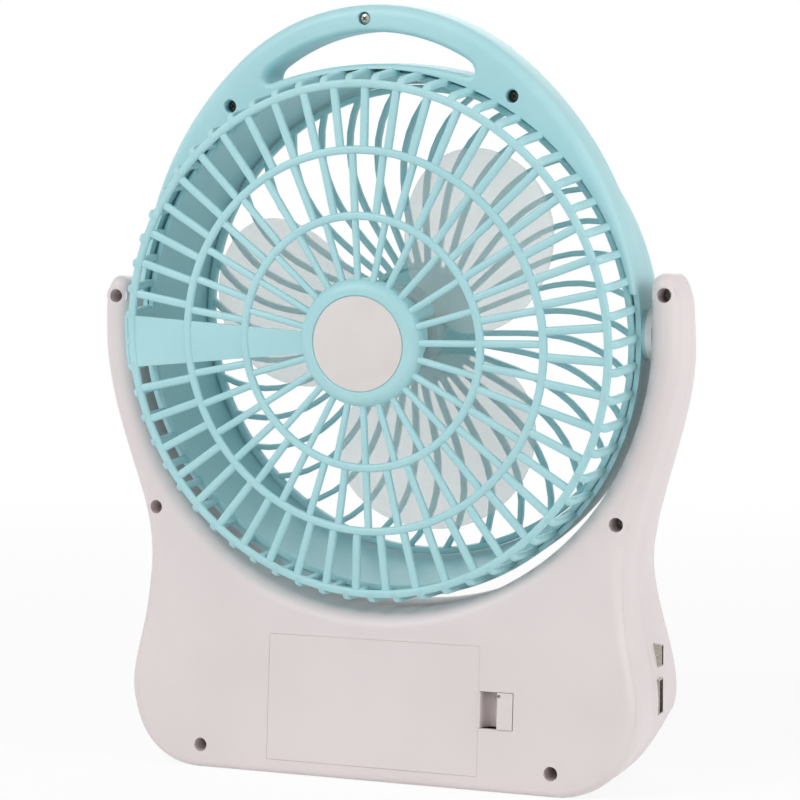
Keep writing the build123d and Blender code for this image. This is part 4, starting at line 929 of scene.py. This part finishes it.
def makeFan():
    f = fan
    front, rear, wide, core = f["hubFrontY"], f["hubRearY"], f["hubRadius"], f["core"]
    inside = wide - f["hubWall"]
    hub = [(0, front), (wide - 4, front), (wide - 1.2, front + 1), (wide, front + 3.5), (wide, rear), (inside, rear),
           (inside, front + 4), (core, front + 2), (core, rear), (0, rear)]
    blades = aroundHub(bladePart(), f["firstAngle"] + np.arange(f["count"]) * 360 / f["count"])
    mesh = toHead(makeMesh("fan", [turned(hub, 96), blades]))
    finishPiece("clear_fan", mesh, "fan", "clear_blade", ["fan_blades"], 50)


makeFan()
print("fan made")


# Speed dial on the hidden front, with plain numbers round it

dial = dict(radius=15.0, height=8.4, gap=0.5, flutes=12, fluteDepth=0.9, grip=12.6, pointer=(1.6, 8.0),
            pointerDeep=0.6, numbers="0123", numberSize=6.0, numberRadius=21.5, raised=0.15,
            firstAngle=157.5, step=45.0)


def dialPart():  # radius falls from the skirt to the grip, waved by the flutes between skirt and crown
    d = dial
    level = np.array([0, 0, 0.12, 0.2, 0.3, 0.5, 0.7, 0.86, 0.95, 1.0, 1.0]) * d["height"] + d["gap"]
    wide, grip = d["radius"], d["grip"]
    reach = np.array([0, wide - 0.3, wide, wide - 0.2, grip + 0.6, grip + 0.2, grip, grip - 0.2, grip - 0.8,
                      grip - 2.0, 0])[:, None]
    wave = np.array([0, 0, 0, 0, 1, 1, 1, 1, 0.7, 0, 0])[:, None]
    turn = np.linspace(0, 2 * math.pi, 192, endpoint=False)[None]
    radius = reach - wave * d["fluteDepth"] * (0.5 + 0.5 * np.cos(d["flutes"] * turn)) ** 2
    tall = np.broadcast_to(level[:, None], radius.shape)
    return gridPart(np.stack([radius * np.cos(turn), radius * np.sin(turn), tall], -1), capEnds=False)


def numberMesh(text, x, y):  # one plain number, a little raised
    curve = bpy.data.curves.new("number", "FONT")
    curve.body = text
    curve.size = dial["numberSize"] * mm
    curve.extrude = dial["raised"] * mm / 2
    curve.align_x = curve.align_y = "CENTER"
    letter = linked("number", curve)
    mesh = finalMesh(letter)
    bpy.data.objects.remove(letter)
    mesh.transform(Matrix.Translation((x * mm, y * mm, 0)))
    return mesh


def makeDial():
    d = dial
    width, length = d["pointer"]
    pointer = roundedRect(width, length, 0.5) + [0, d["grip"] - 2.5 - length / 2]
    slot = extruded(pointer, d["height"] + d["gap"] - d["pointerDeep"], d["height"] + 3)
    mesh = cutAway(makeMesh("dial", [dialPart()]), [slot])
    mesh.transform(Matrix.Rotation(math.radians(d["firstAngle"] - 90), 4, "Z"))
    finishPiece("fluted_dial", carried(mesh, dialSpot, frontAxes), "dial", "turquoise_abs", ["speed_dial"])
    angles = np.radians(d["firstAngle"] - np.arange(len(d["numbers"])) * d["step"])
    spots = d["numberRadius"] * np.column_stack([np.cos(angles), np.sin(angles)])
    mesh = merged([numberMesh(text, *spot) for text, spot in zip(d["numbers"], spots.tolist())])
    finishPiece("dial_numbers", carried(mesh, dialSpot, frontAxes), "base", "black_nylon")


makeDial()
print("dial made")


# Studio: white ground and backdrop for the eye, plain soft light for the object

studio = dict(ambient=0.34, floorSize=12.0, floorColour="#FFFFFF", show=0.88, near=0.35, far=1.2, aim=(0, 0, 0.14),
              lights=[("key", (0.55, 1.0, 0.95), 8.5, 0.7), ("side", (-1.2, 0.2, 0.55), 6.5, 0.8),
                      ("front", (0.3, -1.1, 0.8), 3.0, 0.8)])  # name, place, power in watts, size in metres


def directRays(tree):  # 1 for what the camera sees, straight or by reflection or through clear plastic
    rays = addNode(tree, "ShaderNodeLightPath").outputs
    two = addNode(tree, "ShaderNodeMath", {0: rays["Is Camera Ray"], 1: rays["Is Glossy Ray"]}, operation="MAXIMUM")
    return addNode(tree, "ShaderNodeMath", {0: two.outputs[0], 1: rays["Is Transmission Ray"]}, operation="MAXIMUM")


def addLight(name, place, power, size):
    light = bpy.data.lights.new(name, "AREA")
    light.energy = power
    light.size = size
    lamp = linked(name, light)
    lamp.location = place
    lamp.rotation_euler = (Vector(studio["aim"]) - Vector(place)).to_track_quat("-Z", "Y").to_euler()


def makeStudio():
    world = bpy.data.worlds.new("studio")
    bpy.context.scene.world = world
    world.use_nodes = True
    tree = world.node_tree
    tree.nodes.clear()
    direct = directRays(tree).outputs[0]
    strength = addNode(tree, "ShaderNodeMapRange", {"Value": direct, "To Min": studio["ambient"], "To Max": 1.0})
    back = addNode(tree, "ShaderNodeBackground", {"Color": (1, 1, 1, 1), "Strength": strength.outputs["Result"]})
    addNode(tree, "ShaderNodeOutputWorld", {"Surface": back.outputs["Background"]})
    material, tree, place = newMaterial("pale studio ground")
    direct = directRays(tree).outputs[0]
    plain = addNode(tree, "ShaderNodeBsdfDiffuse", {"Color": hexColour(studio["floorColour"])})
    glow = addNode(tree, "ShaderNodeEmission", {"Color": (1, 1, 1, 1), "Strength": 1.0})
    reach = addNode(tree, "ShaderNodeVectorMath", {0: place}, operation="LENGTH").outputs["Value"]
    fade = addNode(tree, "ShaderNodeMapRange", {
        "Value": reach, "From Min": studio["near"], "From Max": studio["far"],
        "To Min": studio["show"], "To Max": 1.0})
    share = addNode(tree, "ShaderNodeMath", {0: direct, 1: fade.outputs["Result"]}, operation="MULTIPLY")
    mixed = addNode(tree, "ShaderNodeMixShader", {0: share.outputs[0], 1: plain.outputs[0], 2: glow.outputs[0]})
    addNode(tree, "ShaderNodeOutputMaterial", {"Surface": mixed.outputs[0]})
    half = studio["floorSize"] / 2
    mesh = bpy.data.meshes.new("floor")
    mesh.from_pydata([(-half, -half, 0), (half, -half, 0), (half, half, 0), (-half, half, 0)], [], [(0, 1, 2, 3)])
    mesh.materials.append(material)
    linked("floor", mesh)
    for light in studio["lights"]:
        addLight(*light)
    bpy.context.scene.view_settings.view_transform = "Standard"


makeStudio()
print("studio set")
